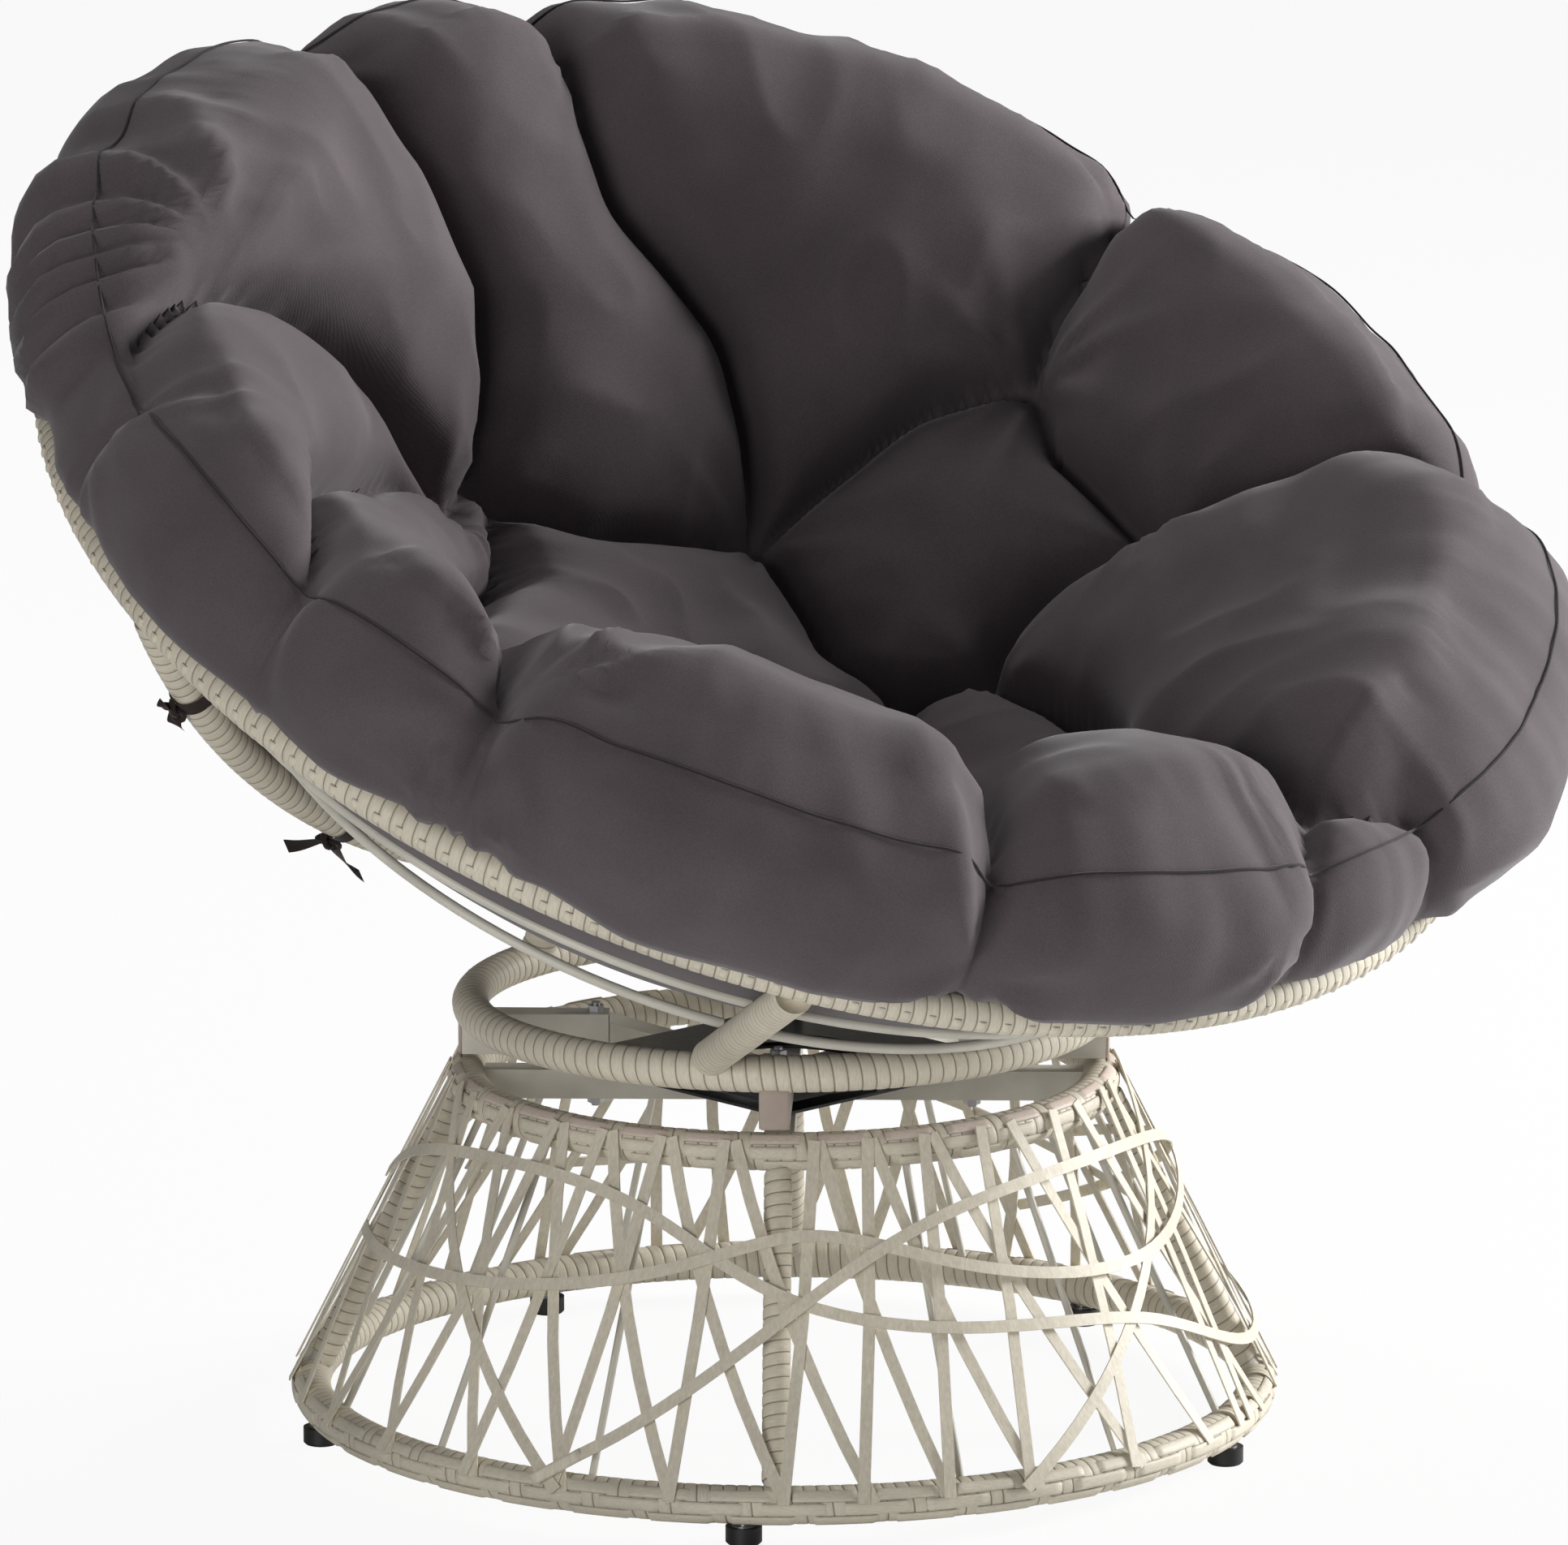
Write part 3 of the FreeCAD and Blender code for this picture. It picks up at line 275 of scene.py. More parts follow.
def unit(vectors):
    """Vectors with their length made 1."""
    return vectors / norm(vectors, axis=-1, keepdims=True)


def run_along(points):
    """Length of a line up to each of its points."""
    return np.concatenate([[0], np.cumsum(norm(np.diff(points, axis=0), axis=1))])


def coordinates(mesh):
    points = np.empty(len(mesh.vertices) * 3)
    mesh.vertices.foreach_get("co", points)
    return points.reshape(-1, 3)


def point_tree(points):
    tree = KDTree(len(points))
    for number, point in enumerate(points):
        tree.insert(point, number)
    tree.balance()
    return tree


def distances(points, others):
    """Distance of each point from the nearest of the others, and which that is."""
    tree = point_tree(others)
    found = [tree.find(point) for point in points]
    return np.array([f[2] for f in found]), np.array([f[1] for f in found])


def bowl_point(radius, height, turn):
    """World points from distance from the bowl axis, height above the rim plane and rim angle in radians."""
    across, back, axis = (np.array(v) for v in (RIGHT, BOWL_BACK, BOWL_AXIS))
    radius, height = np.asarray(radius)[..., None], np.asarray(height)[..., None]
    out = np.cos(turn)[..., None] * across + np.sin(turn)[..., None] * back
    return np.array(RIM_CENTRE) + radius * out + height * axis


# ---- materials
# Painted shade across a strand, darker in the grooves at its edges, by the distance from its middle line in widths
STRAND_PAINTED_SHADE = ((0.0, (1, 1, 1, 1)), (0.41, (0.97, 0.97, 0.97, 1)), (0.455, (0.62, 0.60, 0.56, 1)),
                (0.5, (0.30, 0.28, 0.25, 1)))
# Noise scale of the grain, in a strand's own measure or in the object's
STRAND_GRAIN, OBJECT_GRAIN = (1.6, 9.0, 1.0), (420, 420, 60)


def wicker_material(name="wicker", tint=(0.74, 0.68, 0.56), uv=True):
    """Flat resin wicker, with uv also painted shade in the grooves between the strands."""
    nodes = Nodes(name)
    place = nodes.add("TexCoord")
    base = nodes.tones(nodes.noise(place.outputs["Object"], Scale=9.0, Detail=3.0), tint, 0.86, 1.08)
    stretch = nodes.add("Mapping")
    nodes.link(place.outputs["UV" if uv else "Object"], stretch.inputs["Vector"])
    stretch.inputs["Scale"].default_value = STRAND_GRAIN if uv else OBJECT_GRAIN
    grain = nodes.noise(stretch.outputs["Vector"], Scale=1.0, Detail=4.0, Roughness=0.6)
    streak = nodes.ramp(grain, [(0.25, (0.80, 0.80, 0.78, 1)), (0.75, (1.04, 1.04, 1.04, 1))])
    colour = nodes.multiply(base, streak)
    if uv:
        split = nodes.add("SeparateXYZ")
        nodes.link(place.outputs["UV"], split.inputs["Vector"])
        # Painted shade: the colour darkens towards the strand's edges, where the grooves between strands lie
        off_middle = nodes.value("ABSOLUTE", nodes.value("SUBTRACT", split.outputs["Y"], 0.5))
        colour = nodes.multiply(colour, nodes.ramp(off_middle, STRAND_PAINTED_SHADE))
    return nodes.finish(colour, nodes.bump(grain, 0.25, 0.0004), Roughness=0.52, Specular_IOR_Level=0.35)


def fabric_material(name, colour, scale=900.0):
    """Dense twill with a soft sheen."""
    nodes = Nodes(name)
    place = nodes.add("TexCoord").outputs["Object"]
    base = nodes.tones(nodes.noise(place, Scale=14.0, Detail=4.0), colour, 0.88, 1.10)
    rib = nodes.add("TexWave", wave_type="BANDS", bands_direction="DIAGONAL",
                    Scale=scale / 3.0, Distortion=0.6, Detail=2.0)
    nodes.link(place, rib.inputs["Vector"])
    thread = nodes.noise(place, Scale=scale, Detail=2.0)
    fleck = nodes.tones(thread, (1, 1, 1), 0.86, 1.12)
    normal = nodes.bump(thread, 0.3, 0.0004, nodes.bump(rib.outputs["Fac"], 0.12, 0.0003))
    return nodes.finish(nodes.multiply(base, fleck), normal, Roughness=0.88, Sheen_Weight=0.18,
                        Sheen_Roughness=0.45, Specular_IOR_Level=0.25)


def plain_material(name, colour, roughness, metallic=0.0):
    """Paint, metal or plastic with fine grain."""
    nodes = Nodes(name)
    place = nodes.add("TexCoord").outputs["Object"]
    base = nodes.tones(nodes.noise(place, Scale=22.0, Detail=5.0), colour, 0.88, 1.12)
    grain = nodes.noise(place, Scale=300.0, Detail=3.0)
    rough = nodes.add("MapRange", To_Min=roughness - 0.08, To_Max=roughness + 0.08)
    nodes.link(grain, rough.inputs["Value"])
    nodes.link(rough.outputs["Result"], nodes.shader.inputs["Roughness"])
    return nodes.finish(base, nodes.bump(grain, 0.15, 0.0003), Metallic=metallic)


WICKER = wicker_material()
WICKER_FLAT = wicker_material("wicker_strip", uv=False)
WICKER_ROSE = wicker_material("wicker_rose", (0.73, 0.62, 0.54))
PAINT = plain_material("frame_paint", srgb(206, 202, 190), 0.42)
ARM_PLUG = plain_material("arm_plug", srgb(176, 160, 148), 0.5)
BLACK = plain_material("black_plate", srgb(24, 24, 25), 0.38)
STEEL = plain_material("bare_steel", srgb(172, 172, 174), 0.36, metallic=1.0)
PLASTIC = plain_material("black_plastic", srgb(27, 26, 27), 0.5)
FABRIC = fabric_material("cushion_fabric", srgb(88, 80, 83))
THREAD = fabric_material("seam_thread", srgb(50, 44, 46), 1500.0)
RIBBON = fabric_material("tie_ribbon", srgb(46, 34, 32), 1300.0)


def dress_cad():
    look = {"wicker": WICKER_FLAT, "frame_paint": PAINT, "black_plate": BLACK, "bare_steel": STEEL,
            "black_plastic": PLASTIC, "cushion_fabric": FABRIC, "tie_ribbon": RIBBON}
    for part in frame["record"]["subparts"]:
        node = frame["nodes"][part["node"]]
        node.data.materials.clear()
        node.data.materials.append(look[part["material_slot"]])


# ---- wound wicker
# Height of the wicker's crown above the tube: on the base rings, on the posts and elsewhere
RING_LIFT, POST_LIFT, WRAP_LIFT = 0.0018, 0.0009, 0.0016
RING_PITCH, SEAT_RING_PITCH, TUBE_PITCH = 0.0086, 0.0090, 0.0088
LEG_RADIUS, LEG_PITCH, LEG_RELIEF, LEG_SIDES = 0.0093, 0.0084, 0.0005, 18
# Depth of the grooves, and how uneven the turns are as a share of it
STRAND_RELIEF = 0.0006
TURN_JITTER = 0.10
# Where a turn has points, across its strand
STRAND_PLACES = (0.0, 0.06, 0.15, 0.32, 0.5, 0.68, 0.85, 0.94)
# Texture measure of one turn along the strand, and its shift from turn to turn
TURN_TEXTURE, TEXTURE_SHIFT = 6, 1.37
END_TEXTURE = (0.1, 0.5)


def ring_path(radius, z, count):
    """Points of a level ring about the swivel axis."""
    turn = full_turn(count)
    return np.stack([radius * np.cos(turn), AXIS_Y + radius * np.sin(turn), np.full(count, z)], -1)


def rim_path(count):
    turn = full_turn(count)
    across, back = np.array(RIGHT), np.array(BOWL_BACK)
    return np.array(RIM_CENTRE) + RIM_RADIUS * (np.outer(np.cos(turn), across) + np.outer(np.sin(turn), back))


def strand_relief(place):
    """Height over one strand, from 0 in the groove to 1 on its crown."""
    return (1 - np.abs(2 * place - 1) ** 7) * (0.86 + 0.14 * np.sin(pi * place))


def wind(name, body, path, closed, radius, pitch, relief=STRAND_RELIEF, around=22, sides=None):
    """Tube of wicker wound side by side along a path, with closed ends if the path is open."""
    path = np.asarray(path, float)
    line = np.vstack([path, path[:1]]) if closed else path
    run = run_along(line)
    total = run[-1]
    turns = max(3, int(round(total / pitch)))
    pitch = total / turns
    raise_by = np.random.default_rng(len(name) * 7 + turns).normal(0, TURN_JITTER, turns + 2) * relief

    def point_at(distance):
        distance = np.mod(distance, total) if closed else distance
        return np.stack([np.interp(distance, run, line[:, k]) for k in range(3)], -1)

    per = len(STRAND_PLACES)
    rows = turns * per if closed else (turns - 1) * per + 1
    index = np.arange(rows)
    place = np.array(STRAND_PLACES)[index % per]
    phase = np.arange(around) / around
    distance = ((index // per + place)[:, None] + phase[None, :]) * pitch
    if closed:
        distance = np.mod(distance, total)
    centre = point_at(distance)
    along = unit(point_at(distance + pitch / 2) - point_at(distance - pitch / 2))
    first = centre - path.mean(axis=0) if sides is None else np.broadcast_to(np.asarray(sides, float), centre.shape)
    first = unit(first - along * (first * along).sum(-1, keepdims=True))
    second = np.cross(along, first)
    angle = 2 * pi * phase[None, :, None]
    crown = strand_relief(place)[:, None]
    lift = radius - relief + relief * crown + raise_by[(index // per) % turns][:, None] * crown
    points = centre + lift[:, :, None] * (np.cos(angle) * first + np.sin(angle) * second)
    points = points.reshape(rows * around, 3)

    def node(i, j):
        """Row and number of a point. The end of a row meets the start of the next turn."""
        wrap = (j == around)
        i = np.where(wrap, i + per, i)
        j = np.where(wrap, 0, j)
        if closed:
            i = i % rows
        return i, i * around + j

    i, j = (v.ravel() for v in np.meshgrid(np.arange(rows if closed else rows - 1), np.arange(around), indexing="ij"))
    corners = [node(i, j), node(i + 1, j), node(i + 1, j + 1), node(i, j + 1)]
    keep = np.ones(len(i), bool) if closed else np.maximum.reduce([row for row, _ in corners]) < rows
    faces = np.stack([number for _, number in corners], -1)[keep]
    low = place[i % rows][keep]
    high = np.where((i + 1) % per == 0, 1.0, np.array(STRAND_PLACES)[(i + 1) % per])[keep]
    start = (i // per)[keep] * TEXTURE_SHIFT + phase[j][keep] * TURN_TEXTURE
    end = start + TURN_TEXTURE / around
    uv = np.stack([start, low, start, high, end, high, end, low], -1).reshape(-1, 2)
    if not closed:
        faces = faces.tolist()
        for row, middle, order in ((0, len(points), -1), (rows - 1, len(points) + 1, 1)):
            for j in range(around):
                faces.append([middle] + [row * around + j, row * around + (j + 1) % around][::order])
        uv = np.vstack([uv, [END_TEXTURE] * (3 * 2 * around)])
        points = np.vstack([points, points[:around].mean(axis=0), points[-around:].mean(axis=0)])
    piece = make_mesh(name, points, faces, WICKER, uv=uv)
    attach(piece, body)
    return piece


# Bands that go over some turns of a wound ring and under the next ones: metres
BAND_STEPS = 16
BAND_SLOPE = 0.0030
BAND_DIP = 0.0016
BAND_RISE, BAND_JITTER = 0.0026, 0.00018
BAND_EDGE_DROP = 0.0010
BAND_TEXTURE = 0.4
BAND_WIDTH, BAND_UNDER = 0.0088, 0.009
RIM_BAND_WIDTH, RIM_BAND_OVER, RIM_BAND_UNDER, RIM_BAND_SECTION = 0.0080, 0.0090, 0.0085, -8
# Where a band has points, across its width
BAND_PLACES = (0.02, 0.09, 0.3, 0.5, 0.7, 0.91, 0.98)
# Bands of the base rings: ring, place, length on top, shift by row, and rows as (degrees round the tube, material)
RING_BANDS = (("bottom_ring", BOTTOM_RING, 0.046, 0.37, ((40, WICKER), (0, WICKER), (-40, WICKER))),
              ("top_ring", TOP_RING, 0.036, 0.41, ((52, WICKER_ROSE), (8, WICKER), (-34, WICKER))))


def band(name, body, circle, tube, section, width, over, under, shift, material):
    """Flat strand along a wound circle, given as (centre, two directions in its plane, axis, radius)."""
    centre, across, back, axis, radius = circle
    span = over + under
    section = radians(section)
    spans = int(round(2 * pi * (radius + tube * cos(section)) / span))
    count = spans * BAND_STEPS
    share = np.arange(count) / BAND_STEPS + shift
    turn = np.arange(count) / count * 2 * pi
    part = np.mod(share, 1) * span
    covered = np.minimum(np.clip(part / BAND_SLOPE, 0, 1), np.clip((over - part) / BAND_SLOPE, 0, 1))
    jitter = np.random.default_rng(spans + len(name)).normal(0, BAND_JITTER, spans + 2)
    jitter = jitter[np.floor(share).astype(int) % (spans + 2)]
    lift = tube - BAND_DIP + (BAND_RISE + jitter) * (covered * covered * (3 - 2 * covered))
    places = np.array(BAND_PLACES)
    angle = section + (places - 0.5) * width / tube
    drop = np.where((places < 0.05) | (places > 0.95), BAND_EDGE_DROP, 0.0)
    away = lift[:, None] - drop[None, :]
    out = np.cos(turn)[:, None] * np.array(across) + np.sin(turn)[:, None] * np.array(back)
    middle = np.array(centre) + radius * out
    way = np.cos(angle)[None, :, None] * out[:, None] + np.sin(angle)[None, :, None] * np.array(axis)
    points = middle[:, None] + away[:, :, None] * way
    wide = len(places)
    faces = grid_faces(count, wide, (True, False))
    i, j = faces[:, 0] // wide, faces[:, 0] % wide
    start, end = i * BAND_TEXTURE, (i + 1) * BAND_TEXTURE
    # The uv runs across the band's width, so the wicker material paints shade along the band's edges
    uv = np.stack([start, places[j], end, places[j], end, places[j + 1], start, places[j + 1]], -1).reshape(-1, 2)
    piece = make_mesh(name, points.reshape(-1, 3), faces, material, uv=uv)
    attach(piece, body)
    return piece


# ---- cushion
# A station is a place across the cushion: under 1 the distance from the bowl axis in metres, then 1 at the seam to 2
# at the rim. The sections are (distance from the bowl axis, height above the rim plane) at the level of the creases.
TOP_SECTION = ((0, -0.170), (0.1, -0.155), (0.2, -0.110), (0.3, -0.035), (0.4, 0.052), (0.44, 0.078), (0.47, 0.088))
SEAM_PLACE = (0.491, 0.088)
SIDE_SECTION = ((0.502, 0.072), (0.508, 0.048), (0.507, 0.030), (0.496, 0.0175))
# Grid of the cushion, in points round the bowl and metres along the section
TURNS, CUSHION_STEP = 520, 0.0062
# Rows under the cushion, their lift from the CAD cushion, and the outermost row's distance from the bowl axis
UNDER_ROWS, UNDER_LIFT, UNDER_REACH = 46, 0.001, 0.474
# Height of the pillows: share of the membrane's, greatest height, and shares by (station, share)
PUFF = 0.85
PUFF_LIMIT = 0.120
FULLNESS = ((0, 1), (0.45, 1), (1, 0.72), (1.4, 0.66), (2, 0.48))
MEMBRANE_ROUNDS, MEMBRANE_START = 4500, 0.004
# Share of the heights in CREASES that is left, and width of a crease's sides
CREASE_LEFT = 0.75
CREASE_WIDTH = 0.019

# Creases between the pillows as (station, rim angle in degrees) and, if any, the height left in the crease in mm
CREASES = (
    ((2, 100, 20), (1.3, 100, 14), (1, 100, 8), (0.46, 99, 3), (0.393, 97), (0.317, 94), (0.268, 98.9), (0.234, 105),
     (0.223, 116.5)),
    ((2, 77, 20), (1.3, 77, 16), (1, 76, 10), (0.45, 75, 3), (0.369, 72), (0.309, 56), (0.237, 47), (0.192, 43)),
    ((2, 21.6, 20), (1.3, 21.6, 15), (1, 21.6, 6), (0.46, 21), (0.377, 19.6), (0.354, 17.3)),
    ((2, 338, 24), (1.3, 338, 20), (1, 338, 14), (0.447, 343, 4), (0.383, 346), (0.33, 348.4)),
    ((2, 289, 10), (1.4, 289, 4), (1, 288, 2), (0.47, 283, 2), (0.45, 279, 3)),
    ((2, 271, 12), (1.4, 272, 6), (1, 273, 4), (0.45, 279, 3), (0.36, 285), (0.30, 290)),
    ((2, 244, 8), (1.4, 244, 3), (1, 244, 2), (0.46, 245), (0.36, 248), (0.27, 252)),
    ((2, 205, 12), (1.4, 205, 5), (1, 205, 3), (0.46, 203), (0.38, 196), (0.30, 185), (0.25, 170)),
    ((2, 187, 20), (1.4, 187, 12), (1, 187, 8), (0.46, 183, 2), (0.38, 165), (0.305, 150), (0.263, 125),
     (0.223, 116.5)),
    ((2, 163, 22), (1.3, 163, 12), (1, 163, 5), (0.48, 154), (0.435, 143), (0.33, 125), (0.241, 114), (0.223, 116.5)),
    ((0.25, 170), (0.24, 190), (0.24, 215), (0.25, 235), (0.27, 252), (0.29, 270), (0.30, 290)),
    ((0.192, 43), (0.16, 28), (0.135, 8), (0.150, -14), (0.205, -18.9)),
    ((0.192, 43), (0.261, 33.4), (0.307, 27.7), (0.333, 22.3), (0.354, 17.3), (0.327, 9.2), (0.327, -3.5),
     (0.33, -11.6)),
    ((0.33, 348.4), (0.278, 351.2), (0.233, 349.1), (0.205, 341.1), (0.25, 318), (0.29, 300), (0.30, 290)),
    ((0.192, 43), (0.175, 65), (0.18, 88), (0.215, 101), (0.234, 105)),
    ((0.215, 101), (0.17, 120), (0.20, 150), (0.25, 170)),
    ((0.150, 346), (0.14, 300), (0.20, 262), (0.27, 252)))

# Places where the cloth gathers, as (station, rim angle, reach in m, height in mm, folds in a turn) and the rim angles
# that it keeps to. None stands for its side of LAST_CREASE.
ALL_ROUND = (-400, 800)
LAST_CREASE = CREASES[9]
GATHERS = (
    (0.223, 116.5, 0.070, 6, 9), (0.192, 43, 0.07, 6, 9), (0.354, 17.3, 0.09, 8, 10), (0.33, 348.4, 0.08, 6, 9),
    (0.205, 341, 0.05, 4, 8), (0.45, 279, 0.10, 12, 11, 284, 350), (0.27, 252, 0.06, 5, 8), (1.6, 244, 0.09, 13, 7),
    (1.0, 205, 0.11, 13, 12), (1.7, 205, 0.07, 9, 7), (1.0, 187, 0.06, 4, 7), (0.44, 144, 0.24, 17, 15, 100, None),
    (1.2, 268, 0.06, 6, 7, 240, 272), (0.47, 21, 0.06, 7, 8), (1.5, 290, 0.08, 6, 6, 287, 330),
    (0.234, 103, 0.05, 4, 8), (1.3, 163, 0.08, 5, 8), (0.45, 75, 0.06, 6, 9), (1.0, 100, 0.06, 6, 9))
# Start, rise as a share of its reach and fading of a gather's folds
GATHER_START, GATHER_RISE, GATHER_FADE = 0.004, 0.35, 1.3
# Heights of the long folds near the edge, the puckers at the seam, the seam's groove and the uneven filling
LONG_FOLD, PUCKER, SEAM_GROOVE, UNEVEN = 0.009, 0.0020, 0.0035, 0.009

# Cloth run: voxel, greatest move, frames, share of an inward move that is taken back
VOXEL, MOVE_CAP, FRAMES, INWARD_CUT = 0.0075, 0.008, 20, 0.7
CLOTH_SETTINGS = {"quality": 4, "mass": 0.25, "use_pressure": True, "uniform_pressure_force": 6.0,
                  "tension_stiffness": 20, "compression_stiffness": 12, "bending_stiffness": 0.4}
# Points of the blown copy that move one of the cushion, in full from this distance from a crease
CARRIERS, CREASE_HOLD = 6, 0.03

# Seam thread: lift, half width, share of that in thickness, points round it and for each of the grid's
SEAM_LIFT, SEAM_HALF, SEAM_FLAT, SEAM_SIDES, SEAM_FINE = 0.0012, 0.0011, 0.8, 6, 3


def smooth_section(points, step):
    """Evenly spaced points on a smooth curve through points."""
    points = np.asarray(points, float)
    run = run_along(points)
    tangent = np.gradient(points, run, axis=0)
    fine = np.linspace(0, run[-1], 2000)
    k = np.clip(np.searchsorted(run, fine) - 1, 0, len(run) - 2)
    length = (run[k + 1] - run[k])[:, None]
    f = ((fine - run[k])[:, None]) / length
    curve = ((2 * f ** 3 - 3 * f ** 2 + 1) * points[k] + (f ** 3 - 2 * f ** 2 + f) * length * tangent[k]
             + (-2 * f ** 3 + 3 * f ** 2) * points[k + 1] + (f ** 3 - f ** 2) * length * tangent[k + 1])
    run = run_along(curve)
    even = np.linspace(0, run[-1], int(round(run[-1] / step)) + 1)
    return np.stack([np.interp(even, run, curve[:, k]) for k in (0, 1)], -1)


def cad_underside(count):
    """Lower half section of the CAD cushion, from under the rim to the middle."""
    mesh = frame["nodes"]["cushion"].data
    axis = np.array(BOWL_AXIS)
    points = coordinates(mesh) - np.array(RIM_CENTRE)
    facing = np.array([face.normal for face in mesh.polygons]) @ axis
    low = np.unique(np.concatenate([mesh.polygons[int(k)].vertices for k in np.nonzero(facing < -0.2)[0]]))
    height = points[low] @ axis
    radius = norm(points[low] - np.outer(height, axis), axis=1)
    order = np.argsort(radius)
    distance = np.linspace(UNDER_REACH, 0.0, count)
    return np.stack([distance, np.interp(distance, radius[order], height[order])], -1)


def inflate(size_turn, step, pinned, level):
    """Membrane blown up between pinned points, on a grid round the bowl axis."""
    turn_weight = step / np.maximum(size_turn, 1e-4)
    between = (size_turn[1:] + size_turn[:-1]) / 2 / step
    outward = np.append(between, between[-1])
    inward = np.insert(between, 0, 0)
    area = size_turn * step
    total = 2 * turn_weight + outward + inward
    u = np.where(pinned, level, MEMBRANE_START)
    edge = np.zeros((u.shape[0], 1))
    for _ in range(MEMBRANE_ROUNDS):
        out = np.concatenate([u[:, 1:], edge], axis=1)
        into = np.concatenate([edge, u[:, :-1]], axis=1)
        fresh = (turn_weight * (np.roll(u, 1, 0) + np.roll(u, -1, 0)) + outward * out + inward * into + area) / total
        fresh[:, 0] = fresh[:, 1].mean()
        fresh[:, -1] = 0
        u = np.where(pinned, level, fresh)
    return u


def window(value, low, high, soft):
    """About 1 between two values and 0 outside them, with soft ends."""
    return 1 / (1 + np.exp(-(value - low) / soft)) / (1 + np.exp((value - high) / soft))


# The cushion's section over its top and side, and its grid of turns by rows round the bowl axis
SECTION = smooth_section(TOP_SECTION + (SEAM_PLACE,) + SIDE_SECTION, CUSHION_STEP)
RUN = run_along(SECTION)
SEAM_ROW = int(np.argmin(norm(SECTION - np.array(SEAM_PLACE), axis=1)))
FROM_SEAM = (RUN - RUN[SEAM_ROW])[None, :]
ROWS = len(SECTION)
SHAPE = (TURNS, ROWS)
TURN = full_turn(TURNS)[:, None]
GRID = bowl_point(SECTION[:, 0], SECTION[:, 1], TURN)


def station_run(station):
    """Run along the section up to a station."""
    if station >= 1:
        return RUN[SEAM_ROW] + (station - 1) * (RUN[-1] - RUN[SEAM_ROW])
    return float(np.interp(station, SECTION[:SEAM_ROW + 1, 0], RUN[:SEAM_ROW + 1]))


def surface(run, angle):
    """World points at a run along the section and a rim angle in radians."""
    return bowl_point(np.interp(run, RUN, SECTION[:, 0]), np.interp(run, RUN, SECTION[:, 1]), np.asarray(angle))


def mark_creases(fullness):
    """Where creases pin the membrane, at what level, and the creases' points with the height left at each."""
    pinned = np.zeros(SHAPE, bool)
    level = np.zeros(SHAPE)
    kernel = np.hanning(41) / np.hanning(41).sum()
    line_points, line_left = [], []
    for crease in CREASES:
        runs = np.array([station_run(s) for s, *_ in crease])
        angles = np.unwrap(np.radians([a for _, a, *_ in crease]))
        left = np.array([h[0] if h else 0 for _, _, *h in crease]) / 1000 * CREASE_LEFT
        last = len(crease) - 1
        share = np.concatenate([np.linspace(k, k + 1, 60, endpoint=False) for k in range(last)] + [[last]])
        runs, angles, left = (np.interp(share, np.arange(len(crease)), v) for v in (runs, angles, left))
        runs, angles = (np.convolve(np.pad(v, 20, mode="reflect", reflect_type="odd"), kernel, mode="valid")
                        for v in (runs, angles))
        i = np.round(angles / (2 * pi) * TURNS).astype(int) % TURNS
        j = np.clip(np.round(np.interp(runs, RUN, np.arange(ROWS))).astype(int), 0, ROWS - 1)
        pinned[i, j] = True
        level[i, j] = (left / PUFF / fullness[j]) ** 2 / 2
        line_points.append(surface(runs, angles))
        line_left.append(left)
    return pinned, level, np.concatenate(line_points), np.concatenate(line_left)


def cloth_folds():
    """Heights of the folds at the gathers, the long soft folds along the edge and the puckers at the seam."""
    rim_angle = np.degrees(TURN)
    crease_runs = [station_run(s) for s, *_ in LAST_CREASE]
    crease_angle = np.interp(RUN, crease_runs[::-1], [a for _, a, *_ in LAST_CREASE][::-1])[None, :]
    folds = np.zeros(SHAPE)
    for number, (station, angle, reach, rise, count, *limits) in enumerate(GATHERS):
        low, high = limits or ALL_ROUND
        run, turn = station_run(station), radians(angle)
        centre = surface(run, turn)
        along = unit(surface(run - 0.01, turn) - centre)
        side = unit(surface(run, radians(angle + 1)) - centre)
        offset = GRID - centre
        away = norm(offset, axis=2)
        bearing = np.arctan2(offset @ side, offset @ along)
        wave = np.cos(count * bearing + 1.7 * number + 0.9 * np.sin(3 * bearing + number))
        ridge = (0.5 + 0.5 * wave) ** 2 - 0.4
        fade = (np.clip((away - GATHER_START) / (GATHER_RISE * reach), 0, 1)
                * np.exp(-(away / reach) ** 2 * GATHER_FADE)
                * window(rim_angle, low, crease_angle if high is None else high, 1.5))
        folds += rise / 1000 * ridge * fade
    where = np.stack(np.broadcast_arrays(TURN, FROM_SEAM), -1).reshape(-1, 2)
    long_folds = np.array([noise.noise(Vector((a * 2.2, b * 24, 3))) for a, b in where]).reshape(SHAPE)
    puckers = np.array([noise.noise(Vector((a * 17, b * 11, 8))) for a, b in where]).reshape(SHAPE)
    folds += LONG_FOLD * long_folds * window(rim_angle, 288, 345, 7) * window(FROM_SEAM, -0.15, 0.06, 0.02)
    folds += PUCKER * puckers * np.exp(-(FROM_SEAM / 0.05) ** 2) * (1 - window(rim_angle, 110, 157, 4))
    return folds


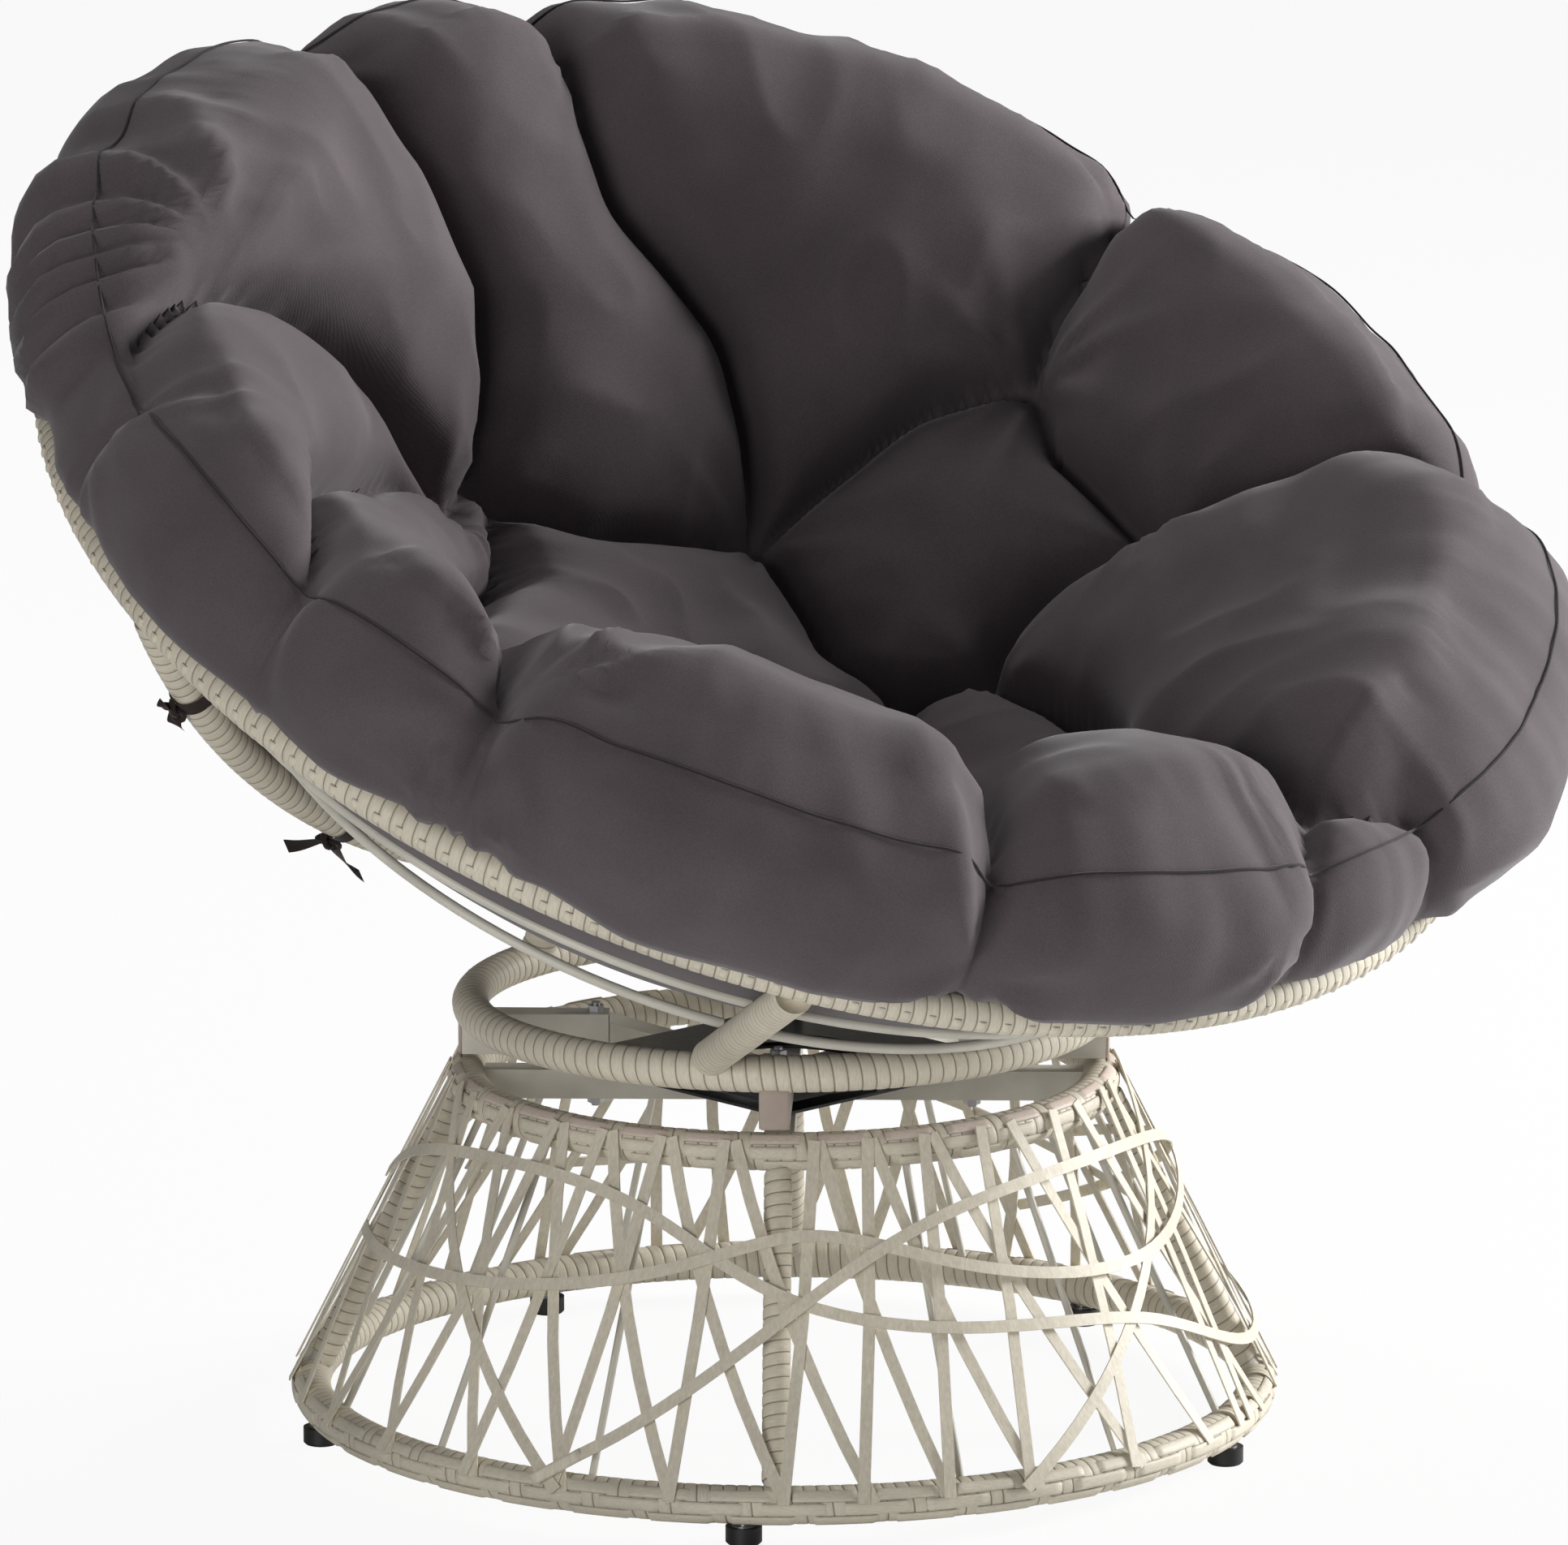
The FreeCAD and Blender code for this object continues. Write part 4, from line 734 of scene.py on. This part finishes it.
def make_cushion():
    """Cushion with its pillows and folds, the line of its seam and the points of its creases."""
    fullness = np.interp(RUN, [station_run(s) for s, _ in FULLNESS], [share for _, share in FULLNESS])
    pinned, level, line_points, line_left = mark_creases(fullness)
    membrane = inflate(np.maximum(SECTION[:, 0], 0.002) * 2 * pi / TURNS, CUSHION_STEP, pinned, level)
    height = PUFF * np.sqrt(2 * np.maximum(membrane, 0))
    height = PUFF_LIMIT * np.tanh(height / PUFF_LIMIT) * fullness

    # Round sides along the creases
    flat = GRID.reshape(-1, 3)
    nearest, pick = distances(flat, line_points)
    left_there = line_left[pick].reshape(SHAPE)
    narrow = np.sqrt(np.clip(1 - (1 - np.clip(nearest.reshape(SHAPE) / CREASE_WIDTH, 0, 1)) ** 2, 0, 1))
    height = np.minimum(height, left_there) + np.maximum(height - left_there, 0) * narrow

    # Folds, the seam's groove and the uneven filling, each less where the cushion is thin
    height = np.maximum(height + cloth_folds() * np.clip(height / 0.018, 0, 1), 0)
    height -= SEAM_GROOVE * np.exp(-(FROM_SEAM / 0.006) ** 2) * np.clip(height / 0.01, 0, 1)
    wander = np.array([noise.noise(Vector(p) * 9) - 0.9 * abs(noise.noise(Vector(p) * 13 + Vector((5, 1, 2))))
                       for p in flat]).reshape(SHAPE)
    height = height + UNEVEN * wander * np.clip(height / 0.04, 0, 1)

    tangent = unit(np.gradient(SECTION, axis=0))
    normal = bowl_point(-tangent[:, 1], tangent[:, 0], TURN) - np.array(RIM_CENTRE)
    points = GRID + normal * height[..., None]

    under = cad_underside(UNDER_ROWS)
    under[:, 1] += UNDER_LIFT
    sheet = np.concatenate([points[:, 1:], bowl_point(under[1:, 0], under[1:, 1], TURN)], axis=1)
    across = sheet.shape[1]
    middles = [points[:, 0].mean(axis=0), bowl_point(np.zeros(TURNS), under[-1, 1], TURN[:, 0]).mean(axis=0)]
    vertices = np.vstack([sheet.reshape(-1, 3)] + middles)
    faces = grid_faces(TURNS, across, (True, False), turned=True).tolist()
    first, last = TURNS * across, TURNS * across + 1
    for i in range(TURNS):
        k = (i + 1) % TURNS
        faces.append([first, i * across, k * across])
        faces.append([last, k * across + across - 1, i * across + across - 1])
    return make_mesh("cushion_cover", vertices, faces, FABRIC), points[:, SEAM_ROW], line_points


def evaluated_mesh(piece):
    return bpy.data.meshes.new_from_object(piece.evaluated_get(bpy.context.evaluated_depsgraph_get()))


def swell(piece, line_points):
    """Blows up a voxel copy of the piece as cloth, then moves the piece's own points with it."""
    blown = new_object("blown", piece.data.copy())
    remesh = blown.modifiers.new("remesh", "REMESH")
    remesh.mode = "VOXEL"
    remesh.voxel_size = VOXEL
    bpy.context.view_layer.update()
    blown.data = evaluated_mesh(blown)
    blown.modifiers.clear()
    before = coordinates(blown.data)
    facing = np.array([vertex.normal for vertex in blown.data.vertices])
    cloth = blown.modifiers.new("cloth", "CLOTH")
    for key, value in CLOTH_SETTINGS.items():
        setattr(cloth.settings, key, value)
    cloth.settings.effector_weights.gravity = 0
    cloth.point_cache.frame_start = 1
    cloth.point_cache.frame_end = FRAMES
    for number in range(1, FRAMES + 1):
        bpy.context.scene.frame_set(number)
    move = coordinates(evaluated_mesh(blown)) - before
    bpy.context.scene.frame_set(1)
    bpy.data.objects.remove(blown)
    inward = np.minimum((move * facing).sum(1), 0)
    move -= INWARD_CUT * inward[:, None] * facing
    length = norm(move, axis=1)
    move *= (np.minimum(length, MOVE_CAP) / np.maximum(length, 1e-9))[:, None]
    tree = point_tree(before)
    own = coordinates(piece.data)
    near = np.array([[found[1] for found in tree.find_n(point, CARRIERS)] for point in own])
    moved = move[near].mean(axis=1)
    nearest, _ = distances(own, line_points)
    moved *= np.clip(nearest / CREASE_HOLD, 0.1, 1)[:, None]
    piece.data.vertices.foreach_set("co", (own + moved).ravel())
    piece.data.update()


def refine(values, times):
    """Values round a closed line, with more between each two."""
    closed = np.vstack([values, values[:1]])
    index = np.arange(len(values) * times) / times
    return np.stack([np.interp(index, np.arange(len(closed)), closed[:, k]) for k in range(3)], -1)


def make_seam(piece, seam_line):
    """Thin dark thread in the groove of the cushion's seam."""
    tree = BVHTree.FromObject(piece, bpy.context.evaluated_depsgraph_get())
    found = [tree.find_nearest(Vector(point)) for point in seam_line]
    places, normals = np.array([f[0] for f in found]), np.array([f[1] for f in found])
    for _ in range(3):
        places = (np.roll(places, 1, 0) + 2 * places + np.roll(places, -1, 0)) / 4
    path = refine(places + SEAM_LIFT * normals, SEAM_FINE)
    lift = unit(refine(normals, SEAM_FINE))
    along = unit(np.roll(path, -1, 0) - np.roll(path, 1, 0))
    side = np.cross(along, lift)
    angle = full_turn(SEAM_SIDES)[None, :, None]
    ring = path[:, None] + SEAM_HALF * (np.cos(angle) * side[:, None] + SEAM_FLAT * np.sin(angle) * lift[:, None])
    return make_mesh("cushion_seam", ring.reshape(-1, 3), grid_faces(len(path), SEAM_SIDES, (True, True)), THREAD)


# ---- struts, posts, legs and hoop
def ring_point(ring, turn, lift=0.0):
    """Point of a level ring, at an angle in radians from the front towards +X."""
    radius, z = ring
    return Vector((radius * sin(turn), AXIS_Y - radius * cos(turn), z + lift))


def rim_point(angle, height=0.0):
    """Point of the rim's centre line, or above it, at a rim angle in degrees."""
    return Vector(bowl_point(np.array(RIM_RADIUS), np.array(height), np.array(radians(angle))))


def strut_line(side):
    """Foot and head of a front strut, with side -1 on the left and 1 on the right."""
    return (ring_point(SEAT_RING, radians(side * STRUT_FOOT_ANGLE), STRUT_FOOT_LIFT),
            rim_point(270 + side * (90 - STRUT_RIM_ANGLE), -STRUT_TOP_DROP))


def cradle_point(angle):
    """Point of the cradle hoop at an angle in degrees from its lowest point towards +X."""
    lean = radians(CRADLE_LEAN)
    down = Vector((0, sin(lean), -cos(lean)))
    middle = (rim_point(180 - CRADLE_RIM_ANGLE) + rim_point(CRADLE_RIM_ANGLE)) / 2
    centre = middle + down * (CRADLE_SAG - CRADLE_RADIUS)
    turn = radians(angle)
    return centre + (down * cos(turn) + RIGHT * sin(turn)) * CRADLE_RADIUS


def cradle_path(count):
    """Points of the cradle hoop, up to a small gap before the rim."""
    half = degrees(asin(CRADLE_HALF_SPAN / CRADLE_RADIUS)) - degrees(CRADLE_GAP / CRADLE_RADIUS)
    return [cradle_point(angle) for angle in np.linspace(-half, half, count)]


def post_line(side):
    plan = degrees(asin(POST_OFFSET / SEAT_RING[0]))
    return (ring_point(SEAT_RING, radians(180 - side * plan)),
            cradle_point(side * degrees(asin(POST_OFFSET / CRADLE_RADIUS))))


def straight(foot, head, start, end):
    """Ends of a tube that starts past its foot and ends before its head."""
    along = (head - foot).normalized()
    return [foot + along * start, head - along * end]


# ---- ties and small fittings
# Ribbon ties round the cradle hoop: angle on the hoop, lengths of the two tails in metres, and how steeply they hang
TIES = ((-47.0, 0.012, 0.010, 0.3), (-27.0, 0.044, 0.036, 0.35), (47.0, 0.030, 0.024, 1.0), (27.0, 0.034, 0.030, 1.0))
TIE_WIDTH = 0.012
TIE_COLUMNS = 5
# Radius of the ribbon round the hoop, start of the search for the cushion, and an arm's length if it finds none
TIE_RADIUS = TUBE + 0.0016 + 0.0012
TIE_PROBE, TIE_ARM = 0.016, 0.05
# Half the gap between the arms at the cushion, and their bow
ARM_HALF_GAP, ARM_BOW = 0.003, 0.004
TAIL_WIDTH = 0.92
KNOT_LIFT, KNOT_SIZE, KNOT_STEPS, KNOT_SIDES = 0.003, 0.0026, 72, 8

# Section of a woven strip as (share of its width, share of its depth), with its measures in metres
STRIP_SECTION = ((-0.5, -0.5), (0.5, -0.5), (0.5, 0.4), (0.25, 0.5), (-0.25, 0.5), (-0.5, 0.4))
STRIP_WIDTH, STRIP_DEPTH, STRIP_ROWS = 0.0079, 0.0011, 8
STRIP_END, STRIP_TREND = 0.0095, 0.06

# Arm plugs: steps of the crown as (inset, height), and the two points of a corner as shares of its sides
PLUG_STEPS = ((0.0, 0.0001), (0.0, 0.0016), (0.0006, 0.0022), (0.003, 0.0026), (0.008, 0.0028))
PLUG_CORNER = ((0.82, 1), (1, 0.86))


def strip_points(path, wide, width):
    """Rows of points of a flat ribbon along a path."""
    places = np.linspace(-0.5, 0.5, TIE_COLUMNS)
    return np.asarray(path)[:, None] + np.asarray(wide)[:, None] * (places * width)[None, :, None]


def path_length(path):
    return sum((b - a).length for a, b in zip(path, path[1:]))


def make_knot(number, place, tangent, side, inward):
    """Small trefoil knot of ribbon at a place."""
    ring = []
    for turn in full_turn(KNOT_STEPS):
        x = sin(turn) + 2 * sin(2 * turn)
        y = cos(turn) - 2 * cos(2 * turn)
        z = -sin(3 * turn)
        ring.append(place + (tangent * x * 1.15 + side * y * 0.9) * KNOT_SIZE + inward * z * KNOT_SIZE)
    points = []
    for i in range(KNOT_STEPS):
        along = (ring[(i + 1) % KNOT_STEPS] - ring[i - 1]).normalized()
        first = along.cross(inward).normalized()
        second = along.cross(first)
        for j in range(KNOT_SIDES):
            turn = 2 * pi * j / KNOT_SIDES
            points.append(ring[i] + (first * cos(turn) + second * (sin(turn) * 0.7)) * KNOT_SIZE)
    return make_mesh("cushion_tie_knot_%d" % number, points, grid_faces(KNOT_STEPS, KNOT_SIDES, (True, True)), RIBBON)


def make_tie(number, angle, tails, hang, cushion_tree):
    """Ribbon round the cradle hoop and up to the cushion, with a knot and two tails."""
    place = cradle_point(angle)
    tangent = (cradle_point(angle + 1) - cradle_point(angle - 1)).normalized()
    centre_way = (cradle_point(angle) - (cradle_point(angle + 20) + cradle_point(angle - 20)) / 2).normalized() * -1
    inward = (centre_way - tangent * centre_way.dot(tangent)).normalized()
    side = tangent.cross(inward)
    reach = cushion_tree.ray_cast(place + inward * TIE_PROBE, inward)[3]
    reach = (TIE_ARM if reach is None else reach) + TIE_PROBE

    def arm(share, way):
        """Point of an arm, from 0 at the cushion to 1 at the hoop."""
        bow = ARM_BOW * sin(pi * share)
        apart = ARM_HALF_GAP + (TIE_RADIUS - ARM_HALF_GAP) * share ** 0.7 + bow
        return place + inward * (reach * (1 - share)) + side * (way * apart)

    loop = [arm(share, 1) for share in np.linspace(0, 1, 8)[:-1]]
    for turn in np.linspace(90, 270, 19):
        way = radians(turn)
        loop.append(place + (inward * cos(way) + side * sin(way)) * TIE_RADIUS)
    loop += [arm(share, -1) for share in np.linspace(1, 0, 8)[1:]]
    blocks = [strip_points(loop, [tangent] * len(loop), TIE_WIDTH)]
    length = path_length(loop)
    knot_place = place - inward * (TIE_RADIUS + KNOT_LIFT)
    for way, tail in zip((-1, 1), tails):
        path, across = [], []
        for share in np.linspace(0, 1, 10):
            step = (tangent * (way * share * tail) + Vector((0, 0, -1)) * (hang * tail * share ** 1.5)
                    - inward * (0.004 * sin(3 * share)))
            path.append(knot_place + tangent * (way * 0.004) + step)
            turn = radians(25 * sin(2.5 * share + number))
            across.append(side * cos(turn) + inward * sin(turn))
        blocks.append(strip_points(path, across, TIE_WIDTH * TAIL_WIDTH))
        length += path_length(path)
    points, faces = [], []
    for block in blocks:
        faces += grid_faces(len(block), TIE_COLUMNS, (False, False), first=len(points)).tolist()
        points += block.reshape(-1, 3).tolist()
    ribbon = make_mesh("cushion_tie_%d" % number, points, faces, RIBBON)
    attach(ribbon, "seat")
    knot = make_knot(number, knot_place, tangent, side, inward)
    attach(knot, "seat")
    return ribbon


def lengthen(node, name, length):
    """Goes on with a woven strip from its lower end to the bottom ring."""
    points = coordinates(frame["nodes"][node].data)
    away = norm(points - points[points[:, 2].argmin()], axis=1)
    middle = np.unique(points[away < STRIP_END].round(5), axis=0).mean(axis=0)
    onward = unit(middle - points[(away > STRIP_END) & (away < STRIP_TREND)].mean(axis=0))
    wide = unit(np.cross(onward, unit(middle * (1, 1, 0) - (0, AXIS_Y, 0))))
    thick = np.cross(wide, onward)
    rings = []
    for share in np.linspace(-0.05, 1, STRIP_ROWS):
        place = middle + onward * (share * length)
        rings += [place + wide * (a * STRIP_WIDTH) + thick * (b * STRIP_DEPTH) for a, b in STRIP_SECTION]
    sides = len(STRIP_SECTION)
    faces = grid_faces(STRIP_ROWS, sides, (False, True), turned=True).tolist()
    faces += [list(range(sides))[::-1], list(range((STRIP_ROWS - 1) * sides, STRIP_ROWS * sides))]
    piece = make_mesh(name, rings, faces, WICKER_FLAT)
    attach(piece, "base")


def cap_seat_arms():
    """Crowned plugs in the open outer ends of the four seat arms."""
    swivel = np.array((0, AXIS_Y, 0))
    points = coordinates(frame["nodes"]["seat_arms"].data) - swivel
    for number in range(4):
        turn = radians(SEAT_ARM_ANGLE + 90 * number)
        out, across = np.array((sin(turn), -cos(turn), 0)), np.array((cos(turn), sin(turn), 0))
        mine = points[(points @ out > 0) & (np.abs(points @ across) < SEAT_ARM_REACH)]
        reach = (mine @ out).max()
        face = mine[mine @ out > reach - 0.0005]
        low, high = face[:, 2].min(), face[:, 2].max()
        half, middle, tall = np.abs(face @ across).max(), (low + high) / 2, (high - low) / 2
        rings = []
        for inset, depth in PLUG_STEPS:
            for a, b in ((1, 1), (-1, 1), (-1, -1), (1, -1)):
                for c, d in PLUG_CORNER if a * b < 0 else PLUG_CORNER[::-1]:
                    rings.append(swivel + out * (reach + depth) + across * (a * c * (half - inset))
                                 + np.array((0, 0, middle + b * d * (tall - inset))))
        steps, sides = len(PLUG_STEPS), 4 * len(PLUG_CORNER)
        faces = grid_faces(steps, sides, (False, True), turned=True).tolist()
        faces += [list(range((steps - 1) * sides, steps * sides)), list(range(sides))[::-1]]
        plug = make_mesh("seat_arm_plug_%d" % (number + 1), rings, faces, ARM_PLUG)
        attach(plug, "seat")


# ---- the scene
make_camera()
make_stage()
dress_cad()
cushion, seam_line, crease_points = make_cushion()
swell(cushion, crease_points)
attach(cushion, "seat")
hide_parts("cushion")
seam = make_seam(cushion, seam_line)
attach(seam, "seat")

for ring, body, path, lift, pitch in (("rim", "seat", rim_path(900), WRAP_LIFT, RING_PITCH),
                                      ("seat_ring", "seat", ring_path(*SEAT_RING, 600), WRAP_LIFT, SEAT_RING_PITCH),
                                      ("bottom_ring", "base", ring_path(*BOTTOM_RING, 700), RING_LIFT, RING_PITCH),
                                      ("top_ring", "base", ring_path(*TOP_RING, 600), RING_LIFT, RING_PITCH)):
    sleeve = wind(ring + "_winding", body, path, True, TUBE + lift, pitch)
    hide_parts(ring + "_wrap")
for side, name in ((-1, "left"), (1, "right")):
    foot, head = strut_line(side)
    sleeve = wind("front_strut_%s_winding" % name, "seat", straight(foot, head, 0.004, -0.009), False,
                  TUBE + WRAP_LIFT, TUBE_PITCH, sides=(1, -0.3, 0.6))
    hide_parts("front_strut_%s_wrap" % name)
    foot, head = post_line(side)
    wind("cradle_post_%s_winding" % name, "seat", straight(foot, head, 0.004, 0.004), False,
         TUBE + POST_LIFT, TUBE_PITCH, sides=(1, 0.3, 0))
cradle_sleeve = wind("cradle_hoop_winding", "seat", cradle_path(300), False, TUBE + WRAP_LIFT, TUBE_PITCH,
                     sides=(0, 1, 0.3))
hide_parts("cradle_hoop_wrap")
for number in range(4):
    turn = BASE_TURN + radians(90 * number)
    path = straight(ring_point(BOTTOM_RING, turn), ring_point(TOP_RING, turn), 0.011, 0.011)
    sleeve = wind("base_leg_%d_winding" % (number + 1), "base", path, False, LEG_RADIUS, LEG_PITCH, LEG_RELIEF,
                  LEG_SIDES, (cos(turn), sin(turn), 0))
    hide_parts("base_leg_wrap_%d" % (number + 1))

for ring, (radius, z), over, shift, rows in RING_BANDS:
    circle = ((0, AXIS_Y, z), (1, 0, 0), (0, 1, 0), (0, 0, 1), radius)
    for row, (section, material) in enumerate(rows):
        band("%s_band_%d" % (ring, row + 1), "base", circle, TUBE + RING_LIFT, section, BAND_WIDTH, over, BAND_UNDER,
             row * shift, material)
band("rim_band", "seat", (RIM_CENTRE, RIGHT, BOWL_BACK, BOWL_AXIS, RIM_RADIUS), TUBE + WRAP_LIFT, RIM_BAND_SECTION,
     RIM_BAND_WIDTH, RIM_BAND_OVER, RIM_BAND_UNDER, 0, WICKER)

cap_seat_arms()
lengthen("lattice_rising_band", "rising_band_end", 0.036)
cad_cushion = frame["nodes"]["cushion"].data
tree = BVHTree.FromPolygons([tuple(v.co) for v in cad_cushion.vertices],
                            [tuple(f.vertices) for f in cad_cushion.polygons])
ribbons = [make_tie(number + 1, angle, tails, hang, tree) for number, (angle, *tails, hang) in enumerate(TIES)]
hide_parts("cushion_ties")

for lamp in LAMPS:
    make_lamp(*lamp)
bpy.context.scene.view_settings.view_transform = "Standard"
make_world()
